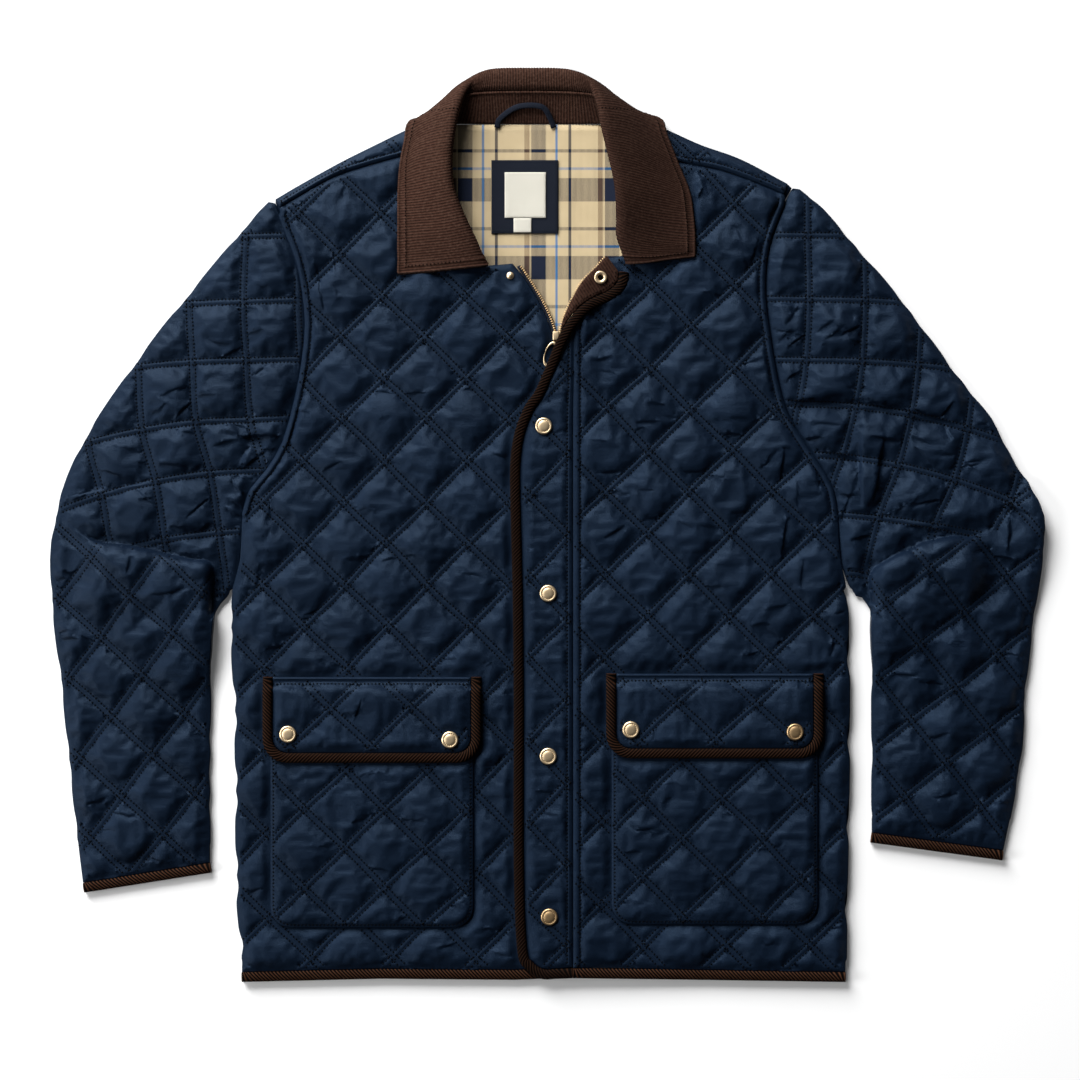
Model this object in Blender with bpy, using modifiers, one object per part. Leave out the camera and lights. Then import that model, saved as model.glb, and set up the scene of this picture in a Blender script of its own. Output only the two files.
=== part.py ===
"""A quilted jacket lying flat on its back, with its collar open and its sleeves at its sides.

Lengths are in millimetres, X to the right, Y towards the collar and Z up, with the table at Z 0.
The panels lie on each other: back, back lining, fronts, then pockets, placket and collar.
"""
import math

import bmesh
import bpy
from mathutils import Matrix, Vector
from mathutils.geometry import delaunay_2d_cdt

MM = 0.001

# ---- driving sizes --------------------------------------------------------------------------
GAP = 0.3              # between neighbouring pieces
BACK_CLOTH = 2.5       # pressed quilting of the back
LINING_CLOTH = 0.8
SHELL_CLOTH = 2.5      # quilted cloth at its stitch lines
EDGE_CLOTH = 1.3       # the same cloth where it is sewn at an edge
CORD_CLOTH = 2.4       # two layers of corduroy
PUFF = 3.8             # rise of the wadding between the stitch lines
QUILT_CUTS = (0.0, 0.23, 0.77)       # where a square is cut for its pillow form
BINDING = 9.0          # folded width of the binding
BINDING_RISE = 3.9
CAP_RADIUS = 7.6       # snap caps
CAP_HEIGHT = 2.6
FLAP_SEAM = 8.0        # a flap is sewn on down to here
FLAP_FOLD = 12.0       # and lies on the pocket from here
PULL_WIRE = 0.65       # radius of the wire of the zip's pull

LINING_Z = BACK_CLOTH + GAP
FRONT_Z = LINING_Z + LINING_CLOTH + GAP
FRONT_TOP = FRONT_Z + SHELL_CLOTH
POCKET_Z = FRONT_TOP + GAP
POCKET_TOP = POCKET_Z + SHELL_CLOTH
FLAP_Z = POCKET_TOP + GAP
PLACKET_RISE = POCKET_Z - FRONT_Z    # how far the right front climbs beside the placket
SLEEVE_UNDER = 2.0
SLEEVE_Z = SLEEVE_UNDER + GAP
SLEEVE_ARCH = 4.0
ELBOW_STEP = 5.0

NECK_Y = 361.0
SEAM_X = 23.0          # where the placket is sewn to the right front
CENTRE_X = 9.0         # closed zip

# ---- drawn curves, each a short run of (x, y) points ----------------------------------------
SHOULDER_L = [(-110, 362), (-125, 357), (-158, 341), (-186, 327), (-222, 307), (-244, 294)]
SHOULDER_R = [(83, 364), (102, 359), (138, 343), (174, 330), (216, 308)]
FORWARD_SEAM_L = [(-111, 338), (-132, 332), (-164, 323), (-195, 312), (-240, 286)]
FORWARD_SEAM_R = [(95, 336), (119, 327), (156, 320), (192, 307), (213, 298)]
ARMHOLE_L = [(-244, 290), (-234, 264), (-225, 240), (-219, 214), (-216, 181), (-219, 148),
             (-225, 116), (-236, 76), (-251, 50), (-266, 32), (-272, 13)]
ARMHOLE_R = [(220, 304), (212, 289), (201, 261), (196, 238), (195, 207), (199, 174), (206, 132),
             (215, 101), (230, 75), (243, 56), (256, 33), (260, 9)]
SIDE_L = [(-272, 13), (-274, -30), (-281, -57), (-284, -92), (-280, -161), (-279, -271),
          (-278, -338), (-274, -377), (-274, -400)]
SIDE_R = [(260, 9), (262, -30), (270, -79), (271, -210), (269, -327), (268, -400)]
HEM = [(-274, -400), (-150, -397), (-30, -398), (21, -396), (138, -398), (268, -400)]
ZIP_L = [(-24, 235), (-14, 220), (-2, 200), (6, 181), (CENTRE_X, 168)]
ZIP_R = [(53, 243), (43, 232), (33, 222), (25, 210), (14, 186), (CENTRE_X + 1.5, 168)]
PLACKET_BINDING = [(69, 228), (67, 217), (57, 207.5), (38, 198), (24, 184), (13, 166), (4, 144),
                   (-7, 119), (-16, 106), (-24.5, 84), (-28.4, 58), (-28.4, 22), (-26.4, -60),
                   (-25.4, -156), (-25.4, -300), (-22.5, -378), (-16, -394), (-4, -401.5),
                   (9, -401.3), (22.8, -400.8)]
SLEEVE_OUT_L = [(-250, 291), (-271, 269), (-317, 214), (-347, 177), (-378, 135), (-406, 94),
                (-424, 61), (-436, 30), (-443, 0), (-446, -30), (-444, -79), (-437, -134),
                (-430, -202), (-422, -279), (-417, -320)]
SLEEVE_IN_L = [(-303, -302), (-303, -216), (-302, -134), (-299, -78), (-286, -62), (-278, -34),
               (-274, 10)]
SLEEVE_SPINE_L = [(-285, 190), (-325, 90), (-365, 0), (-372, -90), (-366, -200), (-361, -290)]
SLEEVE_OUT_R = [(227, 303), (248, 285), (281, 247), (321, 200), (368, 136), (399, 97), (418, 61),
                (434, 36), (445, 9), (446, -14), (443, -42), (438, -79), (430, -145), (427, -198),
                (420, -243), (410, -291)]
SLEEVE_IN_R = [(292, -275), (292, -171), (290, -74), (278, -62), (266, -34), (262, 6)]
SLEEVE_SPINE_R = [(262, 190), (310, 90), (355, 0), (364, -90), (359, -200), (352, -265)]
ELBOW_L = [(-301, -74), (-301, -35), (-324, -29), (-365, -19), (-407, -12), (-436, 8)]
ELBOW_R = [(291.5, -68), (292, -40), (332, -17), (358, -10), (382, -9), (400, -2), (410, 12)]

# The collar's sections from its left end round the back to its right end. The stand runs from
# foot to seam, and the fall from seam over the roll, the crown and the slope to the edge.
# Columns: foot, seam, roll, crown, slope, bend, edge.
COLLAR = [
    ((-66, 243, 4.2), (-59, 239, 7.0), (-50.5, 234.5, 10.2), (-58, 233.5, 13.8),
     (-78, 231.5, 13.6), (-105, 229, 11.0), (-133, 227, 9.3)),
    ((-79, 256, 4.2), (-68, 253, 9.6), (-60, 254, 13.5), (-66, 253.5, 17.8),
     (-86, 251, 16.0), (-109, 250, 11.6), (-133, 249, 9.3)),
    ((-95, 274, 4.2), (-78, 271, 12.2), (-70.5, 273.5, 16.5), (-76, 273, 21.4),
     (-94, 271, 17.4), (-114, 271, 12.6), (-133, 271, 9.3)),
    ((-107, 300, 4.2), (-89, 301, 14.5), (-82, 302, 19.5), (-87, 301.5, 24.0),
     (-103, 300, 19.6), (-118, 299, 13.8), (-133, 299, 9.3)),
    ((-111, 326, 4.2), (-91, 332, 15.5), (-84, 332, 20.5), (-89, 331, 25.0),
     (-104, 330, 20.4), (-119, 328, 14.6), (-131.5, 322, 9.4)),
    ((-107, 347, 6.2), (-87, 358, 15.5), (-80, 360, 20.0), (-85, 361, 24.5),
     (-101, 359, 18.4), (-115, 354, 13.0), (-127, 346, 9.8)),
    ((-103, 353, 6.2), (-84.5, 367, 15.5), (-77.5, 370, 19.5), (-83, 373, 23.5),
     (-100, 369.5, 16.5), (-115, 364, 10.5), (-125, 361.5, 7.0)),
    ((-98, 357, 6.2), (-81, 375, 15.0), (-74.5, 380, 18.5), (-80, 383, 21.5),
     (-97, 378, 13.0), (-110, 371, 6.0), (-117, 367, 1.6)),
    ((-88, 360, 6.0), (-76, 383, 14.5), (-69.5, 391, 17.0), (-75, 394, 18.5),
     (-90, 387, 9.0), (-99, 378, 2.0), (-103, 368.5, 0.0)),
    ((-78, 361.3, 4.8), (-69, 388, 14.0), (-64, 398, 15.5), (-68, 402, 13.5),
     (-80, 396, 5.0), (-85, 386, 0.4), (-89, 367, 0.0)),
    ((-48, 361.3, 4.0), (-50, 390, 13.5), (-49, 403, 14.5), (-50, 410.5, 10.5),
     (-53, 408, 3.0), (-55, 396, 0.0), (-57, 367, 0.0)),
    ((-16, 361.3, 4.0), (-16, 390.5, 13.5), (-16, 404, 14.5), (-16, 411.8, 10.5),
     (-16, 409, 3.0), (-16, 396, 0.0), (-16, 367, 0.0)),
    ((18, 361.3, 4.0), (18, 390, 13.5), (17.5, 403, 14.5), (18, 410.5, 10.5),
     (21, 408, 3.0), (23, 396, 0.0), (25, 367, 0.0)),
    ((46, 361.3, 4.8), (39, 388, 14.0), (35, 398, 15.5), (38.5, 402, 13.5),
     (49, 397, 5.0), (55, 387, 0.4), (59, 367, 0.0)),
    ((60, 360, 6.0), (44, 383, 14.5), (39, 390, 17.0), (44, 393, 18.5),
     (59, 389, 9.0), (69, 380, 2.0), (74, 370, 0.0)),
    ((72, 357, 6.2), (48, 375, 15.0), (42, 379, 18.5), (47.5, 382, 21.5),
     (65, 382, 13.0), (80, 375, 6.0), (90, 370, 1.6)),
    ((78, 353, 6.2), (51, 367, 15.5), (44.5, 368, 19.5), (50, 371, 23.5),
     (68, 372, 16.5), (86, 369, 10.0), (103, 364.5, 7.0)),
    ((83, 347, 6.2), (53, 358, 15.5), (46.5, 357, 20.0), (51.5, 359, 24.5),
     (70, 361, 18.4), (88, 358, 13.0), (107, 350, 9.8)),
    ((95, 326, 4.2), (59, 334, 15.5), (52.5, 333, 20.5), (57.5, 333.5, 25.0),
     (76, 335, 20.4), (96, 331, 14.6), (117, 325, 9.4)),
    ((99, 300, 4.2), (66, 305, 14.5), (59.5, 303, 19.5), (64.5, 303.5, 24.0),
     (84, 304, 19.6), (106, 304, 13.8), (127, 300, 9.3)),
    ((97, 276, 4.2), (68, 277, 12.2), (61, 275, 16.5), (66.5, 275, 21.4),
     (86, 275, 17.4), (108, 277, 12.6), (130.5, 280, 9.3)),
    ((90, 259, 4.2), (69, 259, 9.6), (61.5, 257, 13.5), (67, 256.5, 17.8),
     (86, 256, 16.0), (107, 258, 11.6), (132, 261, 9.3)),
    ((84, 249, 4.2), (78, 242, 7.0), (70.5, 235, 10.2), (78, 234.8, 13.8),
     (90, 236, 13.6), (108, 239, 11.0), (132, 242, 9.3)),
]
LEAF_L = [(-49, 232), (-58, 256), (-70, 275), (-80, 304), (-82, 332), (-78, 362), (-130, 358),
          (-135, 315), (-135, 225), (-90, 229)]
LEAF_R = [(70, 231), (60, 257), (60, 292), (55, 315), (45, 351), (44, 362), (110, 359),
          (125, 312), (134, 276), (134, 240), (100, 235)]

# A quilting lattice: a crossing of its stitch lines and the two steps to the next crossings.
LATTICES = {
    "front_left": ((-186, 244), (36.5, 37.1), (37.8, -37.1)),
    "front_right": ((129, 105), (37.8, 37.0), (36.9, -37.0)),
    "placket": ((-16, 28), (36.0, 36.5), (35.6, -36.9)),
    "pocket_left": ((-180, -218), (36.9, 35.0), (35.4, -35.5)),
    "pocket_right": ((157, -245), (35.4, 35.4), (35.4, -35.5)),
    "flap_left": ((-194, -163), (36.3, 34.7), (36.2, -34.6)),
    "flap_right": ((117, -159), (35.4, 32.1), (35.1, -32.0)),
    "upper_left": ((-320, 203), (48.0, 0.0), (0.0, 54.5)),
    "upper_right": ((285, 203), (49.0, 2.0), (-2.0, 54.5)),
    "fore_left": ((-401, -99), (37.4, -34.2), (-28.0, -37.2)),
    "fore_right": ((335, -106), (31.0, -38.6), (-38.7, -29.5)),
}

COLOURS = {
    "quilted_navy": ((0.012, 0.024, 0.048), 0.55, 0.0),
    "plain_navy": ((0.010, 0.018, 0.036), 0.70, 0.0),
    "brown_corduroy": ((0.040, 0.018, 0.011), 0.90, 0.0),
    "brown_binding": ((0.034, 0.013, 0.007), 0.85, 0.0),
    "plaid_lining": ((0.640, 0.490, 0.290), 0.85, 0.0),
    "label_white": ((0.800, 0.780, 0.720), 0.80, 0.0),
    "pale_brass": ((0.720, 0.520, 0.290), 0.30, 1.0),
}


# ---- plane geometry -------------------------------------------------------------------------
def ramp(value, start, end):
    """0 before start, 1 past end, and a smooth climb between."""
    t = min(max((value - start) / (end - start), 0.0), 1.0)
    return t * t * (3 - 2 * t)


def through(points, steps=2):
    """A smooth open curve through the points, with this many steps between two of them."""
    points = [Vector(p) for p in points]
    padded = [2 * points[0] - points[1], *points, 2 * points[-1] - points[-2]]
    curve = []
    for a, b, c, d in zip(padded, padded[1:], padded[2:], padded[3:]):
        for step in range(steps):
            t = step / steps
            curve.append(0.5 * (2 * b + (c - a) * t + (2 * a - 5 * b + 4 * c - d) * t * t
                                + (3 * b - a - 3 * c + d) * t ** 3))
    return curve + [points[-1]]


def normals(points, closed=False):
    """The left-hand unit normal at each point of a run of points."""
    count = len(points)
    found = []
    for i in range(count):
        before = points[i - 1] if closed or i else points[0]
        after = points[(i + 1) % count] if closed or i < count - 1 else points[-1]
        along = (Vector(after) - Vector(before)).normalized()
        found.append(Vector((-along.y, along.x)))
    return found


def shifted(points, distance, closed=False):
    """The same run moved to its left by the distance."""
    return [Vector(p) + n * distance for p, n in zip(points, normals(points, closed))]


def nearest(x, y, points, closed=False):
    """Distance from a place to a run of points, and whether it lies on its left."""
    best, left = 1e9, True
    ends = points[1:] + points[:1] if closed else points[1:]
    for a, b in zip(points, ends):
        dx, dy = b[0] - a[0], b[1] - a[1]
        size = dx * dx + dy * dy
        if size < 1e-9:
            continue
        t = min(max(((x - a[0]) * dx + (y - a[1]) * dy) / size, 0.0), 1.0)
        away = math.hypot(x - a[0] - t * dx, y - a[1] - t * dy)
        if away < best - 1e-6:
            best, left = away, dx * (y - a[1]) - dy * (x - a[0]) >= 0
    return best, left


def rounded_box(x0, x1, y0, y1, radius):
    """A box outline, anticlockwise from its upper left corner, with round lower corners."""
    outline = [Vector((x0, y1))]
    for cx, start in ((x0 + radius, 180), (x1 - radius, 270)):
        for angle in range(start, start + 91, 18):
            turn = math.radians(angle)
            outline.append(Vector((cx + radius * math.cos(turn),
                                   y0 + radius + radius * math.sin(turn))))
    return outline + [Vector((x1, y1))]


# ---- quilting -------------------------------------------------------------------------------
def lattice_place(lattice, x, y):
    """How many steps a place is from the lattice's crossing, each way."""
    (ox, oy), (ax, ay), (bx, by) = lattice
    area = ax * by - ay * bx
    dx, dy = x - ox, y - oy
    return (dx * by - dy * bx) / area, (ax * dy - ay * dx) / area


def pillow(lattice, x, y):
    """Rise of the wadding: 0 on the stitch lines and 1 in the middle of a square."""
    rise = 1.0
    for place in lattice_place(lattice, x, y):
        rise *= 1 - abs(2 * (place % 1.0) - 1) ** 3
    return rise


def quilting_lines(lattice, outline):
    """The stitch lines over an outline, and the lines between them that shape the pillows."""
    origin, a, b = (Vector(part) for part in lattice)
    places = [lattice_place(lattice, *p[:2]) for p in outline]
    ranges = [(math.floor(min(values)), math.ceil(max(values))) for values in zip(*places)]
    lines = []
    for (low, high), (start, end), step, run in ((ranges[0], ranges[1], a, b),
                                                 (ranges[1], ranges[0], b, a)):
        for whole in range(low, high):
            for part in QUILT_CUTS:
                foot = origin + step * (whole + part)
                lines.append([foot + run * start, foot + run * end])
    return lines


# ---- solids ---------------------------------------------------------------------------------
def clear_scene():
    for thing in list(bpy.data.objects):
        bpy.data.objects.remove(thing, do_unlink=True)


def make_material(name):
    colour, roughness, metallic = COLOURS[name]
    material = bpy.data.materials.new(name)
    material.use_nodes = True
    shader = material.node_tree.nodes["Principled BSDF"]
    shader.inputs["Base Color"].default_value = (*colour, 1.0)
    shader.inputs["Roughness"].default_value = roughness
    shader.inputs["Metallic"].default_value = metallic
    return material


def add_object(name, bm, material):
    """Puts a finished bmesh, drawn in millimetres, into the jacket's collection in metres."""
    bmesh.ops.scale(bm, vec=(MM, MM, MM), verts=bm.verts)
    mesh = bpy.data.meshes.new(name)
    bm.to_mesh(mesh)
    bm.free()
    mesh.materials.append(bpy.data.materials[material])
    thing = bpy.data.objects.new(name, mesh)
    bpy.data.collections["quilted_jacket"].objects.link(thing)
    return thing


def anticlockwise(outline):
    """The outline as (x, y) points, turned round if it runs clockwise."""
    points = [Vector(p[:2]) for p in outline]
    ends = points[1:] + points[:1]
    area = sum(a.x * b.y - b.x * a.y for a, b in zip(points, ends))
    return points if area > 0 else points[::-1]


def sheet_plan(outline, lines):
    """Triangles that fill an outline and follow the lines: points, faces and the rim in order."""
    points = anticlockwise(outline)
    rim = list(range(len(points)))
    edges = []
    for line in lines:
        first = len(points)
        points += [Vector(p[:2]) for p in line]
        edges += [(i, i + 1) for i in range(first, len(points) - 1)]
    spots, _, faces, sources, _, face_sources = delaunay_2d_cdt(points, edges, [rim], 0, 0.002)
    faces = [face for face, source in zip(faces, face_sources) if source]
    used = {i for face in faces for i in face}
    following = {}
    for face in faces:
        for a, b in zip(face, face[1:] + face[:1]):
            following[(a, b)] = following.get((a, b), 0) + 1
    after = {a: b for a, b in following if (b, a) not in following}
    order = [min(after)]
    while after[order[-1]] != order[0]:
        order.append(after[order[-1]])
    return spots, faces, order, used


def slab(name, outline, top, bottom, material, lines=(), under_lines=()):
    """A panel: its outline filled along the lines, raised to top(x, y) over bottom(x, y)."""
    bm = bmesh.new()
    spots, faces, rim, used = sheet_plan(outline, lines)
    upper = {i: bm.verts.new((*spots[i], top(*spots[i]))) for i in used}
    for face in faces:
        bm.faces.new([upper[i] for i in face])
    rim_spots = [spots[i] for i in rim]
    low_spots, low_faces, low_rim, low_used = sheet_plan(rim_spots, under_lines)
    lower = {i: bm.verts.new((*low_spots[i], bottom(*low_spots[i]))) for i in low_used}
    for face in low_faces:
        bm.faces.new([lower[i] for i in reversed(face)])
    shift = min(range(len(low_rim)), key=lambda k: (low_spots[low_rim[k]] - rim_spots[0]).length)
    low_rim = low_rim[shift:] + low_rim[:shift]
    for k in range(len(rim)):
        a, b = k, (k + 1) % len(rim)
        bm.faces.new([upper[rim[b]], upper[rim[a]], lower[low_rim[a]], lower[low_rim[b]]])
    return add_object(name, bm, material)


def quilted(name, outline, bottom, lattice_name, zones=(), rise=PUFF, extra=None,
            under_lines=(), lattice_at=None, more_lines=()):
    """A quilted panel, thinned down to the seam at its edges. A zone is an outline under another
    piece, where the wadding is pressed flat."""
    lattices = [LATTICES[key] for key in lattice_name.split()]
    rim = anticlockwise(outline)
    zones = [anticlockwise(zone) for zone in zones]
    round_rim = shifted(rim, 5.0, closed=True)
    lines = [round_rim + round_rim[:1]]

    def open_cloth(x, y):
        return not any(nearest(x, y, zone, closed=True)[1] for zone in zones)

    if len(lattices) == 1:
        for line in quilting_lines(lattices[0], outline):
            lines += kept_runs(line, open_cloth, True) if zones else [line]
    lines += [list(zone) + [zone[0]] for zone in zones]
    lines += list(more_lines)

    def top(x, y):
        away = nearest(x, y, rim, closed=True)[0]
        cloth = EDGE_CLOTH + (SHELL_CLOTH - EDGE_CLOTH) * ramp(away, 0.0, 4.5)
        puff = pillow(lattice_at(x, y) if lattice_at else lattices[0], x, y)
        puff *= ramp(away, 1.0, 11.0)
        for zone in zones:
            beside, inside = nearest(x, y, zone, closed=True)
            puff *= 0.0 if inside else ramp(beside, 0.0, 9.0)
        return bottom(x, y) + cloth + rise * puff + (extra(x, y) if extra else 0.0)

    return slab(name, outline, top, bottom, "quilted_navy", lines, under_lines)


def ribbon(name, path, width, base, rise, material, crown=True):
    """A strip sewn along a path of (x, y) points, with rounded upper edges."""
    bm = bmesh.new()
    half = width / 2
    profile = [(-half, 0.0), (half, 0.0), (half, 0.45), (half * 0.55, 1.0), (-half * 0.55, 1.0),
               (-half, 0.45)]
    if not crown:
        profile = [(-half, 0.0), (half, 0.0), (half, 1.0), (-half, 1.0)]
    path = [Vector(p[:2]) for p in path]
    rings = []
    for spot, side in zip(path, normals(path)):
        height = rise(*spot) if callable(rise) else rise
        level = base(*spot)
        rings.append([bm.verts.new((*(spot - side * across), level + height * up))
                      for across, up in profile])
    count = len(profile)
    for a, b in zip(rings, rings[1:]):
        for k in range(count):
            bm.faces.new([a[k], a[(k + 1) % count], b[(k + 1) % count], b[k]])
    bm.faces.new(list(reversed(rings[0])))
    bm.faces.new(rings[-1])
    bmesh.ops.recalc_face_normals(bm, faces=bm.faces)
    return add_object(name, bm, material)


def band(name, sections, thickness, material, along=1, across=2):
    """A curved band of cloth: a grid laid through rows of 3D points, then given thickness."""
    rows = [through(section, across) for section in sections]
    columns = [through(column, along) for column in zip(*rows)]
    u_count, v_count = len(columns[0]), len(columns)
    bm = bmesh.new()
    made = bmesh.ops.create_grid(bm, x_segments=u_count - 1, y_segments=v_count - 1, size=1.0)
    for index, vert in enumerate(made["verts"]):
        vert.co = columns[index // u_count][index % u_count]
        vert.co.z = max(vert.co.z, 0.0)
    thing = add_object(name, bm, material)
    wall = thing.modifiers.new("wall", "SOLIDIFY")
    wall.thickness = thickness * MM
    wall.offset = -1.0
    return thing


def turned(name, profile, place, material, segments=16):
    """A round metal piece: a profile of (radius, height) from the rim to the middle, spun."""
    bm = bmesh.new()
    points = [bm.verts.new((radius, 0.0, height)) for radius, height in profile]
    edges = [bm.edges.new(pair) for pair in zip(points, points[1:])]
    bmesh.ops.spin(bm, geom=points + edges, cent=(0, 0, 0), axis=(0, 0, 1),
                   angle=math.tau, steps=segments, use_merge=True)
    bmesh.ops.remove_doubles(bm, verts=bm.verts, dist=0.001)
    bmesh.ops.recalc_face_normals(bm, faces=bm.faces)
    bmesh.ops.translate(bm, verts=bm.verts, vec=place)
    return add_object(name, bm, material)


# ---- how high the layers lie ----------------------------------------------------------------
def flat(level):
    return lambda x, y: level


def front_right_z(x, y):
    """The right front climbs beside the placket, which lies over the left front."""
    return FRONT_Z + PLACKET_RISE * (1 - ramp(x, SEAM_X + 3, SEAM_X + 28))


def placket_z(x, y):
    """The placket's upper end stands off for the zip's slider."""
    return POCKET_Z + PLACKET_RISE * ramp(y, 95.0, 135.0) * (1 - ramp(x, 2.0, 20.0))


def facing_z(x, y):
    return front_right_z(x, y) + SHELL_CLOTH + 4 * GAP


def flap_z(top_edge):
    """A flap is sewn to the front above the pocket and then lies on the pocket."""
    return lambda x, y: POCKET_Z + (FLAP_Z - POCKET_Z) * ramp(top_edge - y, FLAP_SEAM, FLAP_FOLD)


def hem_y(x):
    for (x0, y0), (x1, y1) in zip(HEM, HEM[1:]):
        if x <= x1:
            return y0 + (y1 - y0) * (x - x0) / (x1 - x0)
    return HEM[-1][1]


def hem_run(x0, x1, drop=0.0):
    """Points along the hem, so far below the panels' lower edge."""
    low, high = min(x0, x1), max(x0, x1)
    places = sorted({low, high, *(x for x, y in HEM if low < x < high)}, reverse=x0 > x1)
    return [Vector((x, hem_y(x) - drop)) for x in places]


# ---- pieces ---------------------------------------------------------------------------------
def body_outline():
    left = through(SHOULDER_L) + through(ARMHOLE_L) + through(SIDE_L)[1:-1]
    right = through(SHOULDER_R) + through(ARMHOLE_R) + through(SIDE_R)[1:-1]
    neck = [Vector((60, NECK_Y)), Vector((-92, NECK_Y))]
    return left + hem_run(-274, 268) + right[::-1] + neck


def make_back():
    """The back lies on the table. Its shoulder strips come over to the forward seam."""
    back = slab("back", body_outline(), flat(BACK_CLOTH), flat(0.0), "quilted_navy")
    for side, ridge, seam, cover, key in ((1, SHOULDER_L, FORWARD_SEAM_L, LEAF_L, "front_left"),
                                          (-1, SHOULDER_R, FORWARD_SEAM_R, LEAF_R, "front_right")):
        strip = make_strip(side, shifted(through(ridge), -0.8 * side), through(seam), cover, key)
        joined = back.modifiers.new(strip.name, "BOOLEAN")
        joined.operation = "UNION"
        joined.solver = "MANIFOLD"
        joined.object = strip
        strip.hide_render = True
        strip.display_type = "WIRE"


def make_strip(side, ridge, seam, cover, key):
    """The part of the back that shows above a forward seam, rounded where it turns over."""
    ends = [ridge[k] + (seam[k] - ridge[k]).normalized() * 6.5 for k in (0, -1)]
    fold = [ends[0], *shifted(ridge, 6.5 * side)[1:-1], ends[1]]
    rim = anticlockwise([*ridge, ends[1], *seam[::-1], ends[0]])

    def bottom(x, y):
        folded = 1 - ramp(nearest(x, y, ridge)[0], 4.0, 6.3)
        return FRONT_Z - (FRONT_Z - 1.0) * folded

    def top(x, y):
        turned_over = 1 - ramp(nearest(x, y, ridge)[0], 0.0, 5.0)
        away = nearest(x, y, rim, closed=True)[0]
        beside, covered = nearest(x, y, cover, closed=True)
        puff = 0.0 if covered else ramp(beside, 0.0, 9.0)
        sewn = (SHELL_CLOTH - EDGE_CLOTH) * (1 - ramp(away, 0.0, 4.0)) * (1 - turned_over)
        rise = 2.4 * puff * ramp(away, 2.0, 10.0) * pillow(LATTICES[key], x, y)
        return FRONT_TOP - 3.2 * turned_over - sewn + rise

    name = "strip_left" if side > 0 else "strip_right"
    lines = quilting_lines(LATTICES[key], rim) + [fold]
    return slab(name, rim, top, bottom, "quilted_navy", lines, [fold])


def make_lining():
    outline = shifted(anticlockwise(body_outline()), 14.0, closed=True)
    outline = [p for p in outline if not (-130 < p.x < 100 and p.y > 320)]
    neck = [Vector((62, NECK_Y)), Vector((-86, NECK_Y))]
    first = max(range(len(outline)), key=lambda k: outline[k].x < -90 and outline[k].y)
    outline = outline[first:] + outline[:first]
    slab("lining_back", outline + neck, flat(LINING_Z + LINING_CLOTH), flat(LINING_Z),
         "plaid_lining")


def neckline(rows, shift):
    return shifted([Vector(row[0][:2]) for row in rows], shift)


def make_fronts():
    corner = [(-47, 244), (-60, 206), (-22, 190), (-10, 142), (24, 142), (24, 166), (-14, 248)]
    placket_zone = shifted(through(PLACKET_BINDING[4:]), -6.5)
    placket_zone = [p for p in placket_zone if p.y > -398] + [Vector((30, -399)), Vector((30, 184))]
    covers = [rounded_box(-250, -64, -362, -145, 18), rounded_box(-257, -57, -214, -133, 22),
              placket_zone, corner, LEAF_L]
    opening = shifted(through(ZIP_L), -3.6)
    top_corner = [Vector((-55, 234)), Vector((-31, 236))]
    outline = (neckline(COLLAR[:5], CORD_CLOTH + 2 * GAP)[::-1] + top_corner
               + opening[1:] + hem_run(CENTRE_X - 3.6, -274)
               + through(SIDE_L)[1:-1][::-1] + [p for p in through(ARMHOLE_L) if p.y < 284][::-1]
               + shifted(through(FORWARD_SEAM_L), GAP)[::-1])
    quilted("front_left", outline, flat(FRONT_Z), "front_left", zones=covers)

    facing_zone = [(18, 160), (37, 190), (64, 201), (77, 214), (78, 234), (50, 262), (18, 240)]
    covers = [rounded_box(56, 246, -360, -142, 18), rounded_box(51, 250, -210, -130, 22),
              facing_zone, LEAF_R]
    opening = [p for p in shifted(through(ZIP_R), 3.8) if p.y > 200]
    outline = (neckline(COLLAR[-5:][::-1], -CORD_CLOTH - 2 * GAP)[::-1] + opening
               + [Vector((SEAM_X + GAP, 196))] + hem_run(SEAM_X + GAP, 268)
               + through(SIDE_R)[1:-1][::-1] + [p for p in through(ARMHOLE_R) if p.y < 296][::-1]
               + shifted(through(FORWARD_SEAM_R), -GAP)[::-1])
    climb = [[(x, -392), (x, 190)] for x in (SEAM_X + 15, SEAM_X + 28)]
    quilted("front_right", outline, front_right_z, "front_right", zones=covers,
            more_lines=climb, under_lines=climb)


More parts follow.
